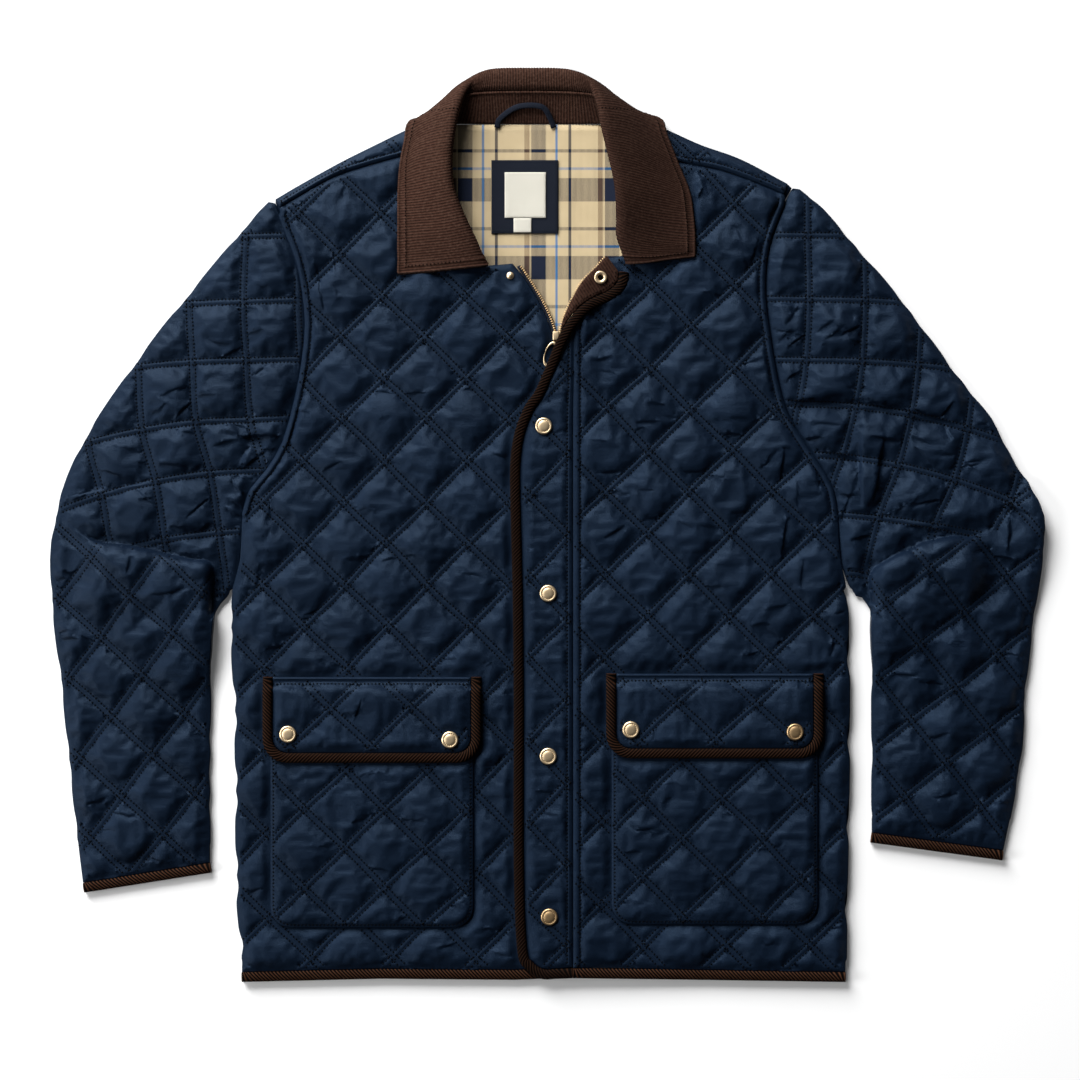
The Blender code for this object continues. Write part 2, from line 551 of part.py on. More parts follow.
def make_sleeve(side, armhole, outer, inner, elbow, spine):
    """A flattened sleeve: an under panel on the table and an arched top panel, which is folded
    over itself at the elbow, deepest on its inner side."""
    name = "left" if side > 0 else "right"
    head = shifted(through(armhole), -0.6 * side)
    outline = head + through(inner)[::-1][1:] + through(outer)[::-1]
    rim = anticlockwise(outline)
    fold = through(elbow, 2)
    below = shifted(fold, 2.6 * side)
    inside = shifted(rim, 13.0, closed=True)

    def on_forearm(x, y):
        return nearest(x, y, fold)[1] == (side > 0) or y < -80

    def bottom(x, y):
        away = nearest(x, y, rim, closed=True)[0]
        return SLEEVE_Z + SLEEVE_ARCH * ramp(away, 0.0, 40.0)

    def pleat(x, y):
        away, left = nearest(x, y, fold)
        if left != (side > 0):
            return 0.0
        depth = ramp(abs(x - elbow[-1][0]), 15.0, 90.0)
        return ELBOW_STEP * depth * ramp(away, 0.0, 2.5) * (1 - ramp(away, 18.0, 90.0))

    def lattice_at(x, y):
        return LATTICES[("fore_" if on_forearm(x, y) else "upper_") + name]

    lines = [fold, below]
    for key, keep in (("upper_", False), ("fore_", True)):
        for line in quilting_lines(LATTICES[key + name], rim):
            lines += [run for run in kept_runs(line, on_forearm, keep)]
    quilted("sleeve_%s_top" % name, outline, bottom, "upper_%s fore_%s" % (name, name),
            extra=pleat, lattice_at=lattice_at, more_lines=lines,
            under_lines=[inside + inside[:1], spine])
    slab("sleeve_%s_under" % name, outline, flat(SLEEVE_UNDER), flat(0.0), "quilted_navy")
    cuff = [Vector(inner[0]), Vector(outer[-1])]
    cuff = shifted([cuff[0], cuff[0].lerp(cuff[1], 0.5), cuff[1]], (BINDING / 2 + GAP) * side)
    ribbon("cuff_binding_%s_top" % name, cuff, BINDING, flat(SLEEVE_Z), BINDING_RISE,
           "brown_binding")
    ribbon("cuff_binding_%s_under" % name, cuff, BINDING, flat(0.0), SLEEVE_UNDER,
           "brown_binding", crown=False)


def kept_runs(line, test, wanted):
    """The stretches of a straight line whose places pass the test, to about 5 mm."""
    runs = []
    current = []
    pieces = int((line[1] - line[0]).length / 5.0) + 1
    for k in range(pieces + 1):
        spot = line[0].lerp(line[1], k / pieces)
        if test(*spot) == wanted:
            current = [current[0], spot] if current else [spot]
        else:
            if len(current) == 2:
                runs.append(current)
            current = []
    if len(current) == 2:
        runs.append(current)
    return runs


def circle(x, y, radius, count=12):
    turns = [math.tau * k / count for k in range(count)]
    return [Vector((x + radius * math.cos(t), y + radius * math.sin(t))) for t in turns]


def make_pockets():
    """Two patch pockets and their snapped flaps. A flap's wadding is pressed flat at its snaps."""
    for name, pocket, flap, caps in (
            ("left", (-248, -66, -360, -147), (-255, -59, -212, -135), ((-232, -186), (-87, -191))),
            ("right", (58, 243, -357, -144), (53, 248, -208, -132), ((75, -182), (222, -184)))):
        x0, x1, y0, y1 = flap
        covered = rounded_box(x0 - 2, x1 + 2, y0 - 2, y1 + 2, 22)
        quilted("pocket_" + name, rounded_box(*pocket, 18), flat(POCKET_Z), "pocket_" + name,
                zones=[covered], rise=3.4)
        inner = rounded_box(x0 + BINDING + GAP, x1 - BINDING - GAP, y0 + BINDING + GAP, y1, 13)
        zones = [circle(x, y, CAP_RADIUS + 1.5) for x, y in caps]
        steps = [y1 - FLAP_FOLD, y1 - FLAP_SEAM]
        quilted("flap_" + name, inner, flap_z(y1), "flap_" + name, zones=zones, rise=2.8,
                more_lines=[[(x0, y), (x1, y)] for y in steps],
                under_lines=[[(x0 + 14, y), (x1 - 14, y)] for y in steps])
        half = BINDING / 2
        path = rounded_box(x0 + half, x1 - half, y0 + half, y1, 17.5)
        path = [path[0], *(Vector((path[0].x, y)) for y in reversed(steps)), *path[1:-1],
                *(Vector((path[-1].x, y)) for y in steps), path[-1]]
        ribbon("flap_%s_binding" % name, path, BINDING, flap_z(y1), BINDING_RISE, "brown_binding")
        for (x, y), place in zip(caps, "ab"):
            make_cap("snap_flap_%s_%s" % (name, place), (x, y, FLAP_Z + SHELL_CLOTH + GAP))


def make_placket():
    caps = [(-3, 90), (1, -60), (1, -206), (2, -350)]
    line = through(PLACKET_BINDING)
    inner = [p for p in shifted(line, BINDING / 2 + GAP) if p.x < SEAM_X - 4 and p.y < 170]
    inner = [p for p in inner if p.y > -397 or p.x < SEAM_X - 6]
    outline = inner + [Vector((SEAM_X, -395.5)), Vector((SEAM_X, 176))]
    quilted("placket", outline, placket_z, "placket", rise=2.8,
            zones=[circle(x, y, CAP_RADIUS + 1.5) for x, y in caps])

    def binding_z(x, y):
        return facing_z(x, y) if y > 150 else placket_z(x, y)

    ribbon("placket_binding", line, BINDING, binding_z, BINDING_RISE, "brown_binding")
    edge = [p for p in shifted(line, -BINDING / 2 - GAP) if p.y > 170]
    zip_side = [p for p in shifted(through(ZIP_R), 0.6) if p.y > 176]
    slab("placket_facing", edge + zip_side[::-1], lambda x, y: facing_z(x, y) + CORD_CLOTH,
         facing_z, "brown_corduroy", [[(x, 160), (x, 260)] for x in (26, 36, 51)])
    for number, (x, y) in enumerate(caps, 1):
        make_cap("snap_placket_%d" % number, (x, y, placket_z(x, y) + SHELL_CLOTH + GAP))


def make_cap(name, place):
    profile = [(0.0, 0.0), (CAP_RADIUS - 0.5, 0.0), (CAP_RADIUS, 1.4), (CAP_RADIUS - 1.6, 2.4),
               (0.0, CAP_HEIGHT)]
    turned(name, profile, place, "pale_brass")


def make_top_snap():
    """The open snap at the neck: its socket on the facing and its stud on the left front."""
    socket = [(5.8, 0.0), (5.8, 1.0), (5.0, 1.6), (3.0, 1.6), (2.4, 1.0), (2.4, 0.0), (5.8, 0.0)]
    x, y = 48.0, 223.0
    level = facing_z(x - socket[0][0], y) + CORD_CLOTH + GAP
    turned("snap_socket", socket, (x, y, level), "pale_brass")
    stud = [(0.0, 0.0), (3.2, 0.0), (3.2, 0.6), (1.8, 1.0), (1.6, 2.2), (0.0, 2.4)]
    turned("snap_stud", stud, (-33.0, 225.0, POCKET_Z), "pale_brass", segments=12)


def make_hem_bindings():
    drop = GAP + BINDING / 2

    def left_rise(x, y):
        return 2.4 + (BINDING_RISE - 2.4) * (1 - ramp(x, -48.0, -40.0))

    ribbon("hem_binding_left", hem_run(-274, CENTRE_X - 3.6, drop), BINDING, flat(FRONT_Z),
           left_rise, "brown_binding")
    ribbon("hem_binding_right", hem_run(SEAM_X + GAP, 268, drop), BINDING, front_right_z,
           BINDING_RISE, "brown_binding")
    ribbon("hem_binding_back", hem_run(-274, 268, drop), BINDING, flat(0.0), BACK_CLOTH,
           "brown_binding", crown=False)


def make_collar():
    rows = list(zip(*COLLAR))
    foot, seam, *rest = ([Vector(p) for p in column] for column in rows)
    fall_sections = [list(section) for section in zip(seam, *rest)]
    band("collar_fall", fall_sections, CORD_CLOTH, "brown_corduroy")
    stand_sections = []
    for low, high in zip(foot, seam):
        along = (high - low).normalized()
        stand_sections.append([low, (low + high) / 2, high - along * CORD_CLOTH])
    band("collar_stand", stand_sections, CORD_CLOTH, "brown_corduroy", across=1)


def make_neck_trim():
    """The hanger loop on the stand, and the bare label on its patch."""
    loop = through([(-45, 358), (-42, 366), (-26, 376), (-5, 376), (3, 366), (6, 358)], 2)
    slope = (14.5 - 4.0) / (391 - 361.3)
    ribbon("hanger_loop", loop, 5.0, lambda x, y: max(4.2, 4.9 + slope * (y - 361.3)), 1.2,
           "plain_navy", crown=False)
    level = LINING_Z + LINING_CLOTH + GAP
    for name, box, cloth, material in (("label_patch", (-50, 10, 263, 329), 0.8, "plain_navy"),
                                       ("label", (-38, -1, 277, 318), 0.6, "label_white"),
                                       ("label_tab", (-30, -14, 264, 276.7), 0.6, "label_white")):
        x0, x1, y0, y1 = box
        outline = [(x0, y0), (x1, y0), (x1, y1), (x0, y1)]
        slab(name, outline, flat(level + cloth), flat(level), material)
        level += cloth + GAP if name == "label_patch" else 0.0


def make_zip():
    """Two tapes that close at the slider and run to the hem, the slider, and its wire pull, which
    lies under the placket's edge."""
    tape, hem_end = 3.2, -396
    for name, line, shift in (("left", ZIP_L, -1.9), ("right", ZIP_R, 1.9)):
        path = shifted(through(line), shift)
        path += [Vector((path[-1].x, y)) for y in (100, 0, -100, -200, -300, hem_end)]
        ribbon("zip_tape_" + name, path, tape, flat(FRONT_Z + 0.2), 1.2, "plain_navy",
               crown=False)
    slider = bmesh.new()
    bmesh.ops.create_cube(slider, size=1.0)
    bmesh.ops.scale(slider, vec=(6.0, 8.0, 2.6), verts=slider.verts)
    bmesh.ops.bevel(slider, geom=slider.edges[:], offset=0.8, segments=1, profile=0.5,
                    affect="EDGES", material=-1)
    bmesh.ops.translate(slider, vec=(8.0, 171.0, 7.0), verts=slider.verts)
    add_object("zip_slider", slider, "pale_brass")
    pull = bmesh.new()
    bmesh.ops.create_circle(pull, segments=6, radius=PULL_WIRE)
    bmesh.ops.rotate(pull, matrix=Matrix.Rotation(math.pi / 2, 3, "X"), verts=pull.verts)
    bmesh.ops.translate(pull, vec=(5.0, 0.0, 0.0), verts=pull.verts)
    bmesh.ops.spin(pull, geom=pull.edges[:] + pull.verts[:], cent=(0, 0, 0), axis=(0, 0, 1),
                   angle=math.tau, steps=18, use_merge=True)
    bmesh.ops.recalc_face_normals(pull, faces=pull.faces)
    bmesh.ops.scale(pull, vec=(1.0, 2.1, 1.0), verts=pull.verts)
    bmesh.ops.rotate(pull, matrix=Matrix.Rotation(math.radians(-18), 3, "Z"), verts=pull.verts)
    bmesh.ops.translate(pull, vec=(3.0, 154.5, POCKET_Z + PULL_WIRE), verts=pull.verts)
    add_object("zip_pull", pull, "pale_brass")


def main():
    clear_scene()
    collection = bpy.data.collections.new("quilted_jacket")
    bpy.context.scene.collection.children.link(collection)
    for name in COLOURS:
        make_material(name)
    make_back()
    make_lining()
    make_fronts()
    make_sleeve(1, ARMHOLE_L, SLEEVE_OUT_L, SLEEVE_IN_L, ELBOW_L, SLEEVE_SPINE_L)
    make_sleeve(-1, ARMHOLE_R, SLEEVE_OUT_R, SLEEVE_IN_R, ELBOW_R, SLEEVE_SPINE_R)
    make_pockets()
    make_placket()
    make_top_snap()
    make_hem_bindings()
    make_collar()
    make_neck_trim()
    make_zip()


main()
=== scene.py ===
"""The finish of a quilted jacket that lies flat on its back.

Sizes and places are in millimetres, X to the right, Y towards the collar and Z up, and become
metres where a mesh is made. Left and right are the viewer's.
"""
import math
import random

import bmesh
import bpy
import numpy as np
from mathutils import Matrix, Quaternion, Vector, noise
from mathutils.bvhtree import BVHTree
from mathutils.geometry import delaunay_2d_cdt


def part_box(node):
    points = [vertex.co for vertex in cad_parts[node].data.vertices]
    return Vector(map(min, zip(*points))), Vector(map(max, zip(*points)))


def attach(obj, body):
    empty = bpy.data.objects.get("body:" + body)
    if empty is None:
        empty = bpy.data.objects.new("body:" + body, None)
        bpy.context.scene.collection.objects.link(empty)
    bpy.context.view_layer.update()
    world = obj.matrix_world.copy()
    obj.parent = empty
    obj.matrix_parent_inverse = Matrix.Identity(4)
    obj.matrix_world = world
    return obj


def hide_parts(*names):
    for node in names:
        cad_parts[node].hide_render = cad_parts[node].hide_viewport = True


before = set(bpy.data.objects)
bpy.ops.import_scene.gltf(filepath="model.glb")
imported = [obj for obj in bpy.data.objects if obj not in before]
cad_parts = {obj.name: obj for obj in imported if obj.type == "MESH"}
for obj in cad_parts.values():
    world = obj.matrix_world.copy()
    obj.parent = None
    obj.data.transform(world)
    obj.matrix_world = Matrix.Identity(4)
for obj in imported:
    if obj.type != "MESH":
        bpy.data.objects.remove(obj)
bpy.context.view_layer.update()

MM = 0.001

# ---- driving sizes --------------------------------------------------------------------------
SHELL = 2.5            # quilted cloth at its stitch lines
EDGE = 1.3             # the same cloth at a sewn edge
PUFF = 4.3             # rise of the wadding before it is settled
TWINS = (2.5, 2.7)     # from a channel's middle to its two stitch lines, for the two families
STITCH = 3.3           # from one stitch to the next
CELL = 3.2             # spacing of the cloth's points between the channels
CREST = (0.28, 0.24)   # rise of the cloth between those two stitch lines
PUCKER = (0.12, 0.2)   # how uneven that rise is
SINK = (0.32, 0.28)    # how deep the stitches draw the cloth in
OVERLAP = 1.6          # how far a panel reaches over the seam to its neighbour
FOLD_AREA = 2600       # square millimetres of cloth to each small fold
BINDING = 9.0          # folded width of the binding
STRIP = 6.5            # the stitched strip along a flap's top
RIB = 3.3              # from one rib of the binding to the next
WALE = 2.55            # from one wale of the corduroy to the next
CORD = 2.4             # thickness of the corduroy
CAP_RADIUS = 7.6       # snap caps
STUD = (-33, 225)      # where the open snap's stud presses on the left front
SPACING = 3.0          # from one point to the next of a line drawn on the cloth
MOST_MOVED = 4.5       # the furthest that the settling may move a point

# A quilting lattice: a crossing of its channels and the two steps to the next crossings.
LATTICES = {
    "front_left": ((-186, 244), (36.5, 37.1), (37.8, -37.1)),
    "front_right": ((129, 105), (37.8, 37.0), (36.9, -37.0)),
    "placket": ((-16, 28), (36.0, 36.5), (35.6, -36.9)),
    "pocket_left": ((-180, -218), (36.9, 35.0), (35.4, -35.5)),
    "pocket_right": ((157, -245), (35.4, 35.4), (35.4, -35.5)),
    "flap_left": ((-194, -163), (36.3, 34.7), (36.2, -34.6)),
    "flap_right": ((117, -159), (35.4, 32.1), (35.1, -32.0)),
    "fore_left": ((-401, -99), (37.4, -34.2), (-28.0, -37.2)),
    "fore_right": ((335, -106), (31.0, -38.6), (-38.7, -29.5)),
}
# The channels of an upper sleeve, from the shoulder down. Columns: how high a row starts at the
# armhole, how fast it falls towards the outer edge, and how far the columns lean in there.
SLEEVE_LEFT_ROWS = [(313.0, 0.5, 0.0), (260.6, 0.9, 0.0), (201.7, 1.8, -1.8), (149.0, 1.4, 0.9),
                    (95.9, 2.3, 4.5), (50.3, 2.5, 17.0), (-3.2, 2.2, 25.0), (-56.0, 2.2, 32.0)]
SLEEVE_RIGHT_ROWS = [(316.0, 0.5, 0.0), (261.5, 0.5, 0.0), (203.9, 0.9, -0.9), (149.4, 1.1, 1.8),
                     (110.3, 2.5, 8.1), (65.3, 2.6, 19.8), (13.1, 1.4, 37.8), (-38.0, 1.4, 50.0)]
SLEEVE_LEFT_START, SLEEVE_LEFT_STEP = -270.9, -48.6
SLEEVE_RIGHT_START, SLEEVE_RIGHT_STEP = 234.0, 50.4
ELBOW_LEFT = [(-301, -74), (-301, -35), (-324, -29), (-365, -19), (-407, -12), (-436, 8)]
ELBOW_RIGHT = [(291.5, -68), (292, -40), (332, -17), (358, -10), (382, -9), (400, -2), (410, 12)]
ELBOW_STEP = 9.5

# Folds in the cloth, each a step with a groove along its foot. Columns: two ends, with the high
# side on the left on the way from the first to the second, then width and height.
FOLDS = {
    "front_left": [(-216, 195, -222, 245, 6, 1.0), (-200, 190, -208, 240, 6, 0.9),
                   (-188, 205, -192, 250, 5, 0.8), (-234, 60, -226, 100, 6, 0.9),
                   (-252, -20, -248, 24, 6, 1.0), (-262, -62, -256, -30, 6, 0.9)],
    "front_right": [(151, 97, 184, 97, 7, 1.0), (87, 110, 105, 110, 5, 0.7),
                    (81, 94, 101, 94, 5, 0.7), (160, 83, 175, 82, 5, 0.8),
                    (45, 49, 66, 49, 6, 1.0), (122, 49, 142, 49, 6, 0.9),
                    (166, 12, 184, 14, 5, 0.8), (195, 53, 205, 67, 5, 0.7),
                    (208, 38, 214, 70, 6, 1.1), (245, 29, 240, 55, 6, 0.9),
                    (225, 16, 225, 45, 6, 0.8), (210, -28, 215, 9, 7, 1.2),
                    (228, -55, 230, -30, 6, 0.8)],
    "sleeve_left_top": [(-348, 116, -322, 127, 5, 1.0), (-353, 99, -337, 115, 4, 0.8),
                        (-333, 98, -319, 112, 5, 1.0), (-310, 118, -297, 117, 4, 0.6),
                        (-293, 87, -276, 80, 7, 2.2), (-278, 80, -240, 81, 9, 3.6),
                        (-298, 72, -276, 78, 6, 1.6), (-264, 74, -278, 55, 8, 2.4),
                        (-346, 57, -308, 51, 7, 1.4), (-400, 75, -361, 64, 7, 1.4),
                        (-399, 51, -371, 42, 5, 1.2), (-391, 36, -438, 24, 10, 2.4),
                        (-357, 40, -391, 36, 8, 1.8), (-368, 33, -350, 17, 4, 0.8),
                        (-324, 8, -303, 26, 3, 0.4), (-416, 4, -399, -9, 6, 1.4),
                        (-337, -2, -292, 0, 7, 1.8), (-330, -24, -310, -29, 5, 1.6),
                        (-375, -42, -372, -27, 3.5, 0.9), (-357, -62, -321, -57, 9, 1.3),
                        (-287, 17, -274, 6, 4, 1.4), (-285, 27, -272, 13, 4, 1.6),
                        (-283, 40, -274, 29, 4, 1.6), (-272, 53, -257, 64, 4, 1.2),
                        (-260, 63, -246, 72, 4, 1.0)],
    "sleeve_right_top": [(246, 163, 275, 188, 6, 1.2), (260, 170, 282, 181, 5, 1.0),
                         (241, 174, 259, 186, 5, 1.1), (210, 177, 228, 199, 5, 1.0),
                         (206, 163, 223, 181, 5, 1.0), (214, 159, 230, 172, 5, 0.9),
                         (212, 127, 225, 141, 5, 1.0), (212, 112, 284, 112, 11, 4.0),
                         (284, 112, 322, 104, 11, 4.0), (322, 104, 372, 90, 9, 2.4),
                         (354, 99, 363, 111, 4, 0.9), (230, 78, 247, 80, 5, 2.2),
                         (246, 67, 280, 60, 8, 1.8), (281, 90, 281, 19, 9, 3.2),
                         (292, 10, 303, 87, 9, 3.2), (262, 1, 280, 51, 5, 1.2),
                         (329, 81, 347, 72, 4, 0.9), (331, 71, 352, 49, 5, 0.9),
                         (356, 91, 363, 78, 4, 0.9), (374, 58, 393, 44, 4, 1.0),
                         (304, 9, 356, 38, 7, 1.5), (320, 18, 351, 24, 4, 0.8),
                         (408, 22, 438, 8, 5, 1.2), (417, 19, 438, -1, 5, 1.0),
                         (414, -20, 416, 12, 5, 1.8), (318, 1, 345, -3, 6, 1.6),
                         (345, -3, 360, -8, 5, 1.6), (273, -12, 289, -8, 5, 1.0)],
    "lining_back": [(-45, 185, 5, 235, 9, 0.9), (8, 245, 35, 190, 9, 0.9),
                    (-85, 300, -60, 350, 9, 0.7), (48, 290, 40, 350, 9, 0.8),
                    (-20, 180, -8, 250, 7, 0.7), (22, 260, 30, 340, 9, 0.6)],
}

# Drawn lines: the ridges and forward seams of the shoulders, the open zip, the placket's edge,
# the hem and the hanger loop.
SHOULDER_LEFT = [(-110, 362), (-125, 357), (-158, 341), (-186, 327), (-222, 307), (-244, 294)]
SHOULDER_RIGHT = [(83, 364), (102, 359), (138, 343), (174, 330), (216, 308)]
FORWARD_SEAM_LEFT = [(-111, 338), (-132, 332), (-164, 323), (-195, 312), (-240, 286)]
FORWARD_SEAM_RIGHT = [(95, 336), (119, 327), (156, 320), (192, 307), (213, 298)]
ZIP_LEFT = [(-24, 235), (-14, 220), (-2, 200), (6, 181), (9, 168)]
ZIP_RIGHT = [(53, 243), (43, 232), (33, 222), (25, 210), (14, 186), (10.5, 168)]
PLACKET_EDGE = [(69, 228), (67, 217), (57, 207.5), (38, 198), (24, 184), (13, 166), (4, 144),
                (-7, 119), (-16, 106), (-24.5, 84), (-28.4, 58), (-28.4, 22), (-26.4, -60),
                (-25.4, -156), (-25.4, -300), (-22.5, -378), (-16, -394), (-4, -401.5),
                (9, -401.3), (22.8, -400.8)]
HEM = [(-274, -400), (-150, -397), (-30, -398), (21, -396), (138, -398), (268, -400)]
LOOP = [(-45, 358), (-42, 366), (-26, 376), (-5, 376), (3, 366), (6, 358)]

# The collar's sections from its left end round the back to its right end. The stand runs from
# foot to seam, and the fall from seam over the roll, the crown and the slope to the edge.
# Columns: foot, seam, roll, crown, slope, bend, edge.
COLLAR = [
    ((-66, 243, 4.2), (-59, 239, 7.0), (-50.5, 234.5, 10.2), (-58, 233.5, 13.8),
     (-78, 231.5, 13.6), (-105, 229, 11.0), (-133, 227, 9.3)),
    ((-79, 256, 4.2), (-68, 253, 9.6), (-60, 254, 13.5), (-66, 253.5, 17.8),
     (-86, 251, 16.0), (-109, 250, 11.6), (-133, 249, 9.3)),
    ((-95, 274, 4.2), (-78, 271, 12.2), (-70.5, 273.5, 16.5), (-76, 273, 21.4),
     (-94, 271, 17.4), (-114, 271, 12.6), (-133, 271, 9.3)),
    ((-107, 300, 4.2), (-89, 301, 14.5), (-82, 302, 19.5), (-87, 301.5, 24.0),
     (-103, 300, 19.6), (-118, 299, 13.8), (-133, 299, 9.3)),
    ((-111, 326, 4.2), (-91, 332, 15.5), (-84, 332, 20.5), (-89, 331, 25.0),
     (-104, 330, 20.4), (-119, 328, 14.6), (-131.5, 322, 9.4)),
    ((-107, 347, 6.2), (-87, 358, 15.5), (-80, 360, 20.0), (-85, 361, 24.5),
     (-101, 359, 18.4), (-115, 354, 13.0), (-127, 346, 9.8)),
    ((-103, 353, 6.2), (-84.5, 367, 15.5), (-77.5, 370, 19.5), (-83, 373, 23.5),
     (-100, 369.5, 16.5), (-115, 364, 10.5), (-125, 361.5, 7.0)),
    ((-98, 357, 6.2), (-81, 375, 15.0), (-74.5, 380, 18.5), (-80, 383, 21.5),
     (-97, 378, 13.0), (-110, 371, 6.0), (-117, 367, 1.6)),
    ((-88, 360, 6.0), (-76, 383, 14.5), (-69.5, 391, 17.0), (-75, 394, 18.5),
     (-90, 387, 9.0), (-99, 378, 2.0), (-103, 368.5, 0.0)),
    ((-78, 361.3, 4.8), (-69, 388, 14.0), (-64, 398, 15.5), (-68, 402, 13.5),
     (-80, 396, 5.0), (-85, 386, 0.4), (-89, 367, 0.0)),
    ((-48, 361.3, 4.0), (-50, 390, 13.5), (-49, 403, 14.5), (-50, 410.5, 10.5),
     (-53, 408, 3.0), (-55, 396, 0.0), (-57, 367, 0.0)),
    ((-16, 361.3, 4.0), (-16, 390.5, 13.5), (-16, 404, 14.5), (-16, 411.8, 10.5),
     (-16, 409, 3.0), (-16, 396, 0.0), (-16, 367, 0.0)),
    ((18, 361.3, 4.0), (18, 390, 13.5), (17.5, 403, 14.5), (18, 410.5, 10.5),
     (21, 408, 3.0), (23, 396, 0.0), (25, 367, 0.0)),
    ((46, 361.3, 4.8), (39, 388, 14.0), (35, 398, 15.5), (38.5, 402, 13.5),
     (49, 397, 5.0), (55, 387, 0.4), (59, 367, 0.0)),
    ((60, 360, 6.0), (44, 383, 14.5), (39, 390, 17.0), (44, 393, 18.5),
     (59, 389, 9.0), (69, 380, 2.0), (74, 370, 0.0)),
    ((72, 357, 6.2), (48, 375, 15.0), (42, 379, 18.5), (47.5, 382, 21.5),
     (65, 382, 13.0), (80, 375, 6.0), (90, 370, 1.6)),
    ((78, 353, 6.2), (51, 367, 15.5), (44.5, 368, 19.5), (50, 371, 23.5),
     (68, 372, 16.5), (86, 369, 10.0), (103, 364.5, 7.0)),
    ((83, 347, 6.2), (53, 358, 15.5), (46.5, 357, 20.0), (51.5, 359, 24.5),
     (70, 361, 18.4), (88, 358, 13.0), (107, 350, 9.8)),
    ((95, 326, 4.2), (59, 334, 15.5), (52.5, 333, 20.5), (57.5, 333.5, 25.0),
     (76, 335, 20.4), (96, 331, 14.6), (117, 325, 9.4)),
    ((99, 300, 4.2), (66, 305, 14.5), (59.5, 303, 19.5), (64.5, 303.5, 24.0),
     (84, 304, 19.6), (106, 304, 13.8), (127, 300, 9.3)),
    ((97, 276, 4.2), (68, 277, 12.2), (61, 275, 16.5), (66.5, 275, 21.4),
     (86, 275, 17.4), (108, 277, 12.6), (130.5, 280, 9.3)),
    ((90, 259, 4.2), (69, 259, 9.6), (61.5, 257, 13.5), (67, 256.5, 17.8),
     (86, 256, 16.0), (107, 258, 11.6), (132, 261, 9.3)),
    ((84, 249, 4.2), (78, 242, 7.0), (70.5, 235, 10.2), (78, 234.8, 13.8),
     (90, 236, 13.6), (108, 239, 11.0), (132, 242, 9.3)),
]


# ---- lines on the cloth ---------------------------------------------------------------------
def ramp(value, start, end):
    """0 before start, 1 past end, and a smooth climb between."""
    t = min(max((value - start) / (end - start), 0.0), 1.0)
    return t * t * (3 - 2 * t)


def through(points, steps=6):
    """A smooth open curve through the points, with this many steps between two of them."""
    points = [Vector(p) for p in points]
    padded = [2 * points[0] - points[1], *points, 2 * points[-1] - points[-2]]
    curve = []
    for a, b, c, d in zip(padded, padded[1:], padded[2:], padded[3:]):
        for step in range(steps):
            t = step / steps
            curve.append(0.5 * (2 * b + (c - a) * t + (2 * a - 5 * b + 4 * c - d) * t * t
                                + (3 * b - a - 3 * c + d) * t ** 3))
    return curve + [points[-1]]


def mean(points):
    return sum(points, Vector((0, 0))) / len(points)


def evenly(run, step):
    """The same run with its points a step apart."""
    lengths = [0.0]
    for a, b in zip(run, run[1:]):
        lengths.append(lengths[-1] + (b - a).length)
    count = max(2, round(lengths[-1] / step) + 1)
    spots, k = [], 0
    for i in range(count):
        place = lengths[-1] * i / (count - 1)
        while k < len(run) - 2 and lengths[k + 1] < place:
            k += 1
        share = (place - lengths[k]) / max(lengths[k + 1] - lengths[k], 1e-9)
        spots.append(run[k].lerp(run[k + 1], share))
    return spots


def shifted(run, distance, closed=False):
    """The same run moved to its left by the distance."""
    count = len(run)
    moved = []
    for i, spot in enumerate(run):
        before = run[i - 1] if closed or i else run[0]
        after = run[(i + 1) % count] if closed or i < count - 1 else run[-1]
        along = (after - before).normalized()
        moved.append(spot + Vector((-along.y, along.x)) * distance)
    return moved


def stretches(run, keep):
    """The parts of a run whose points pass the test, each with one point more at its ends."""
    flags = [keep(p) for p in run]
    found, current = [], []
    for k, spot in enumerate(run):
        if flags[k] or (k and flags[k - 1]) or (k + 1 < len(run) and flags[k + 1]):
            current.append(spot)
        elif current:
            found.append(current)
            current = []
    if current:
        found.append(current)
    return [part for part in found if len(part) > 1]


class Tracks:
    """Drawn runs of points, which tell how far a place is from the nearest of them."""

    def __init__(self, runs):
        corners, faces = [], []
        for run in runs:
            for a, b in zip(run, run[1:]):
                first = len(corners)
                corners += [(a.x, a.y, -1), (b.x, b.y, -1), (b.x, b.y, 1), (a.x, a.y, 1)]
                faces.append(range(first, first + 4))
        self.tree = BVHTree.FromPolygons(corners, faces) if faces else None

    def away(self, x, y):
        """The distance to the nearest run, or a long way where there is none."""
        return self.tree.find_nearest((x, y, 0.0))[3] if self.tree else 1e3


def in_millimetres(mesh):
    """A bmesh of a mesh that is in metres."""
    bm = bmesh.new()
    bm.from_mesh(mesh)
    bmesh.ops.scale(bm, vec=(1 / MM, 1 / MM, 1 / MM), verts=bm.verts)
    return bm


def from_above(tree, x, y):
    """How high the surface lies that shows from above, or None where there is none."""
    hit = tree.ray_cast((x, y, 200.0), (0, 0, -1))[0]
    return hit.z if hit else None


def box_of(node):
    """The low and the high corner of a solid's box in millimetres."""
    low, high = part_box(node)
    return low / MM, high / MM


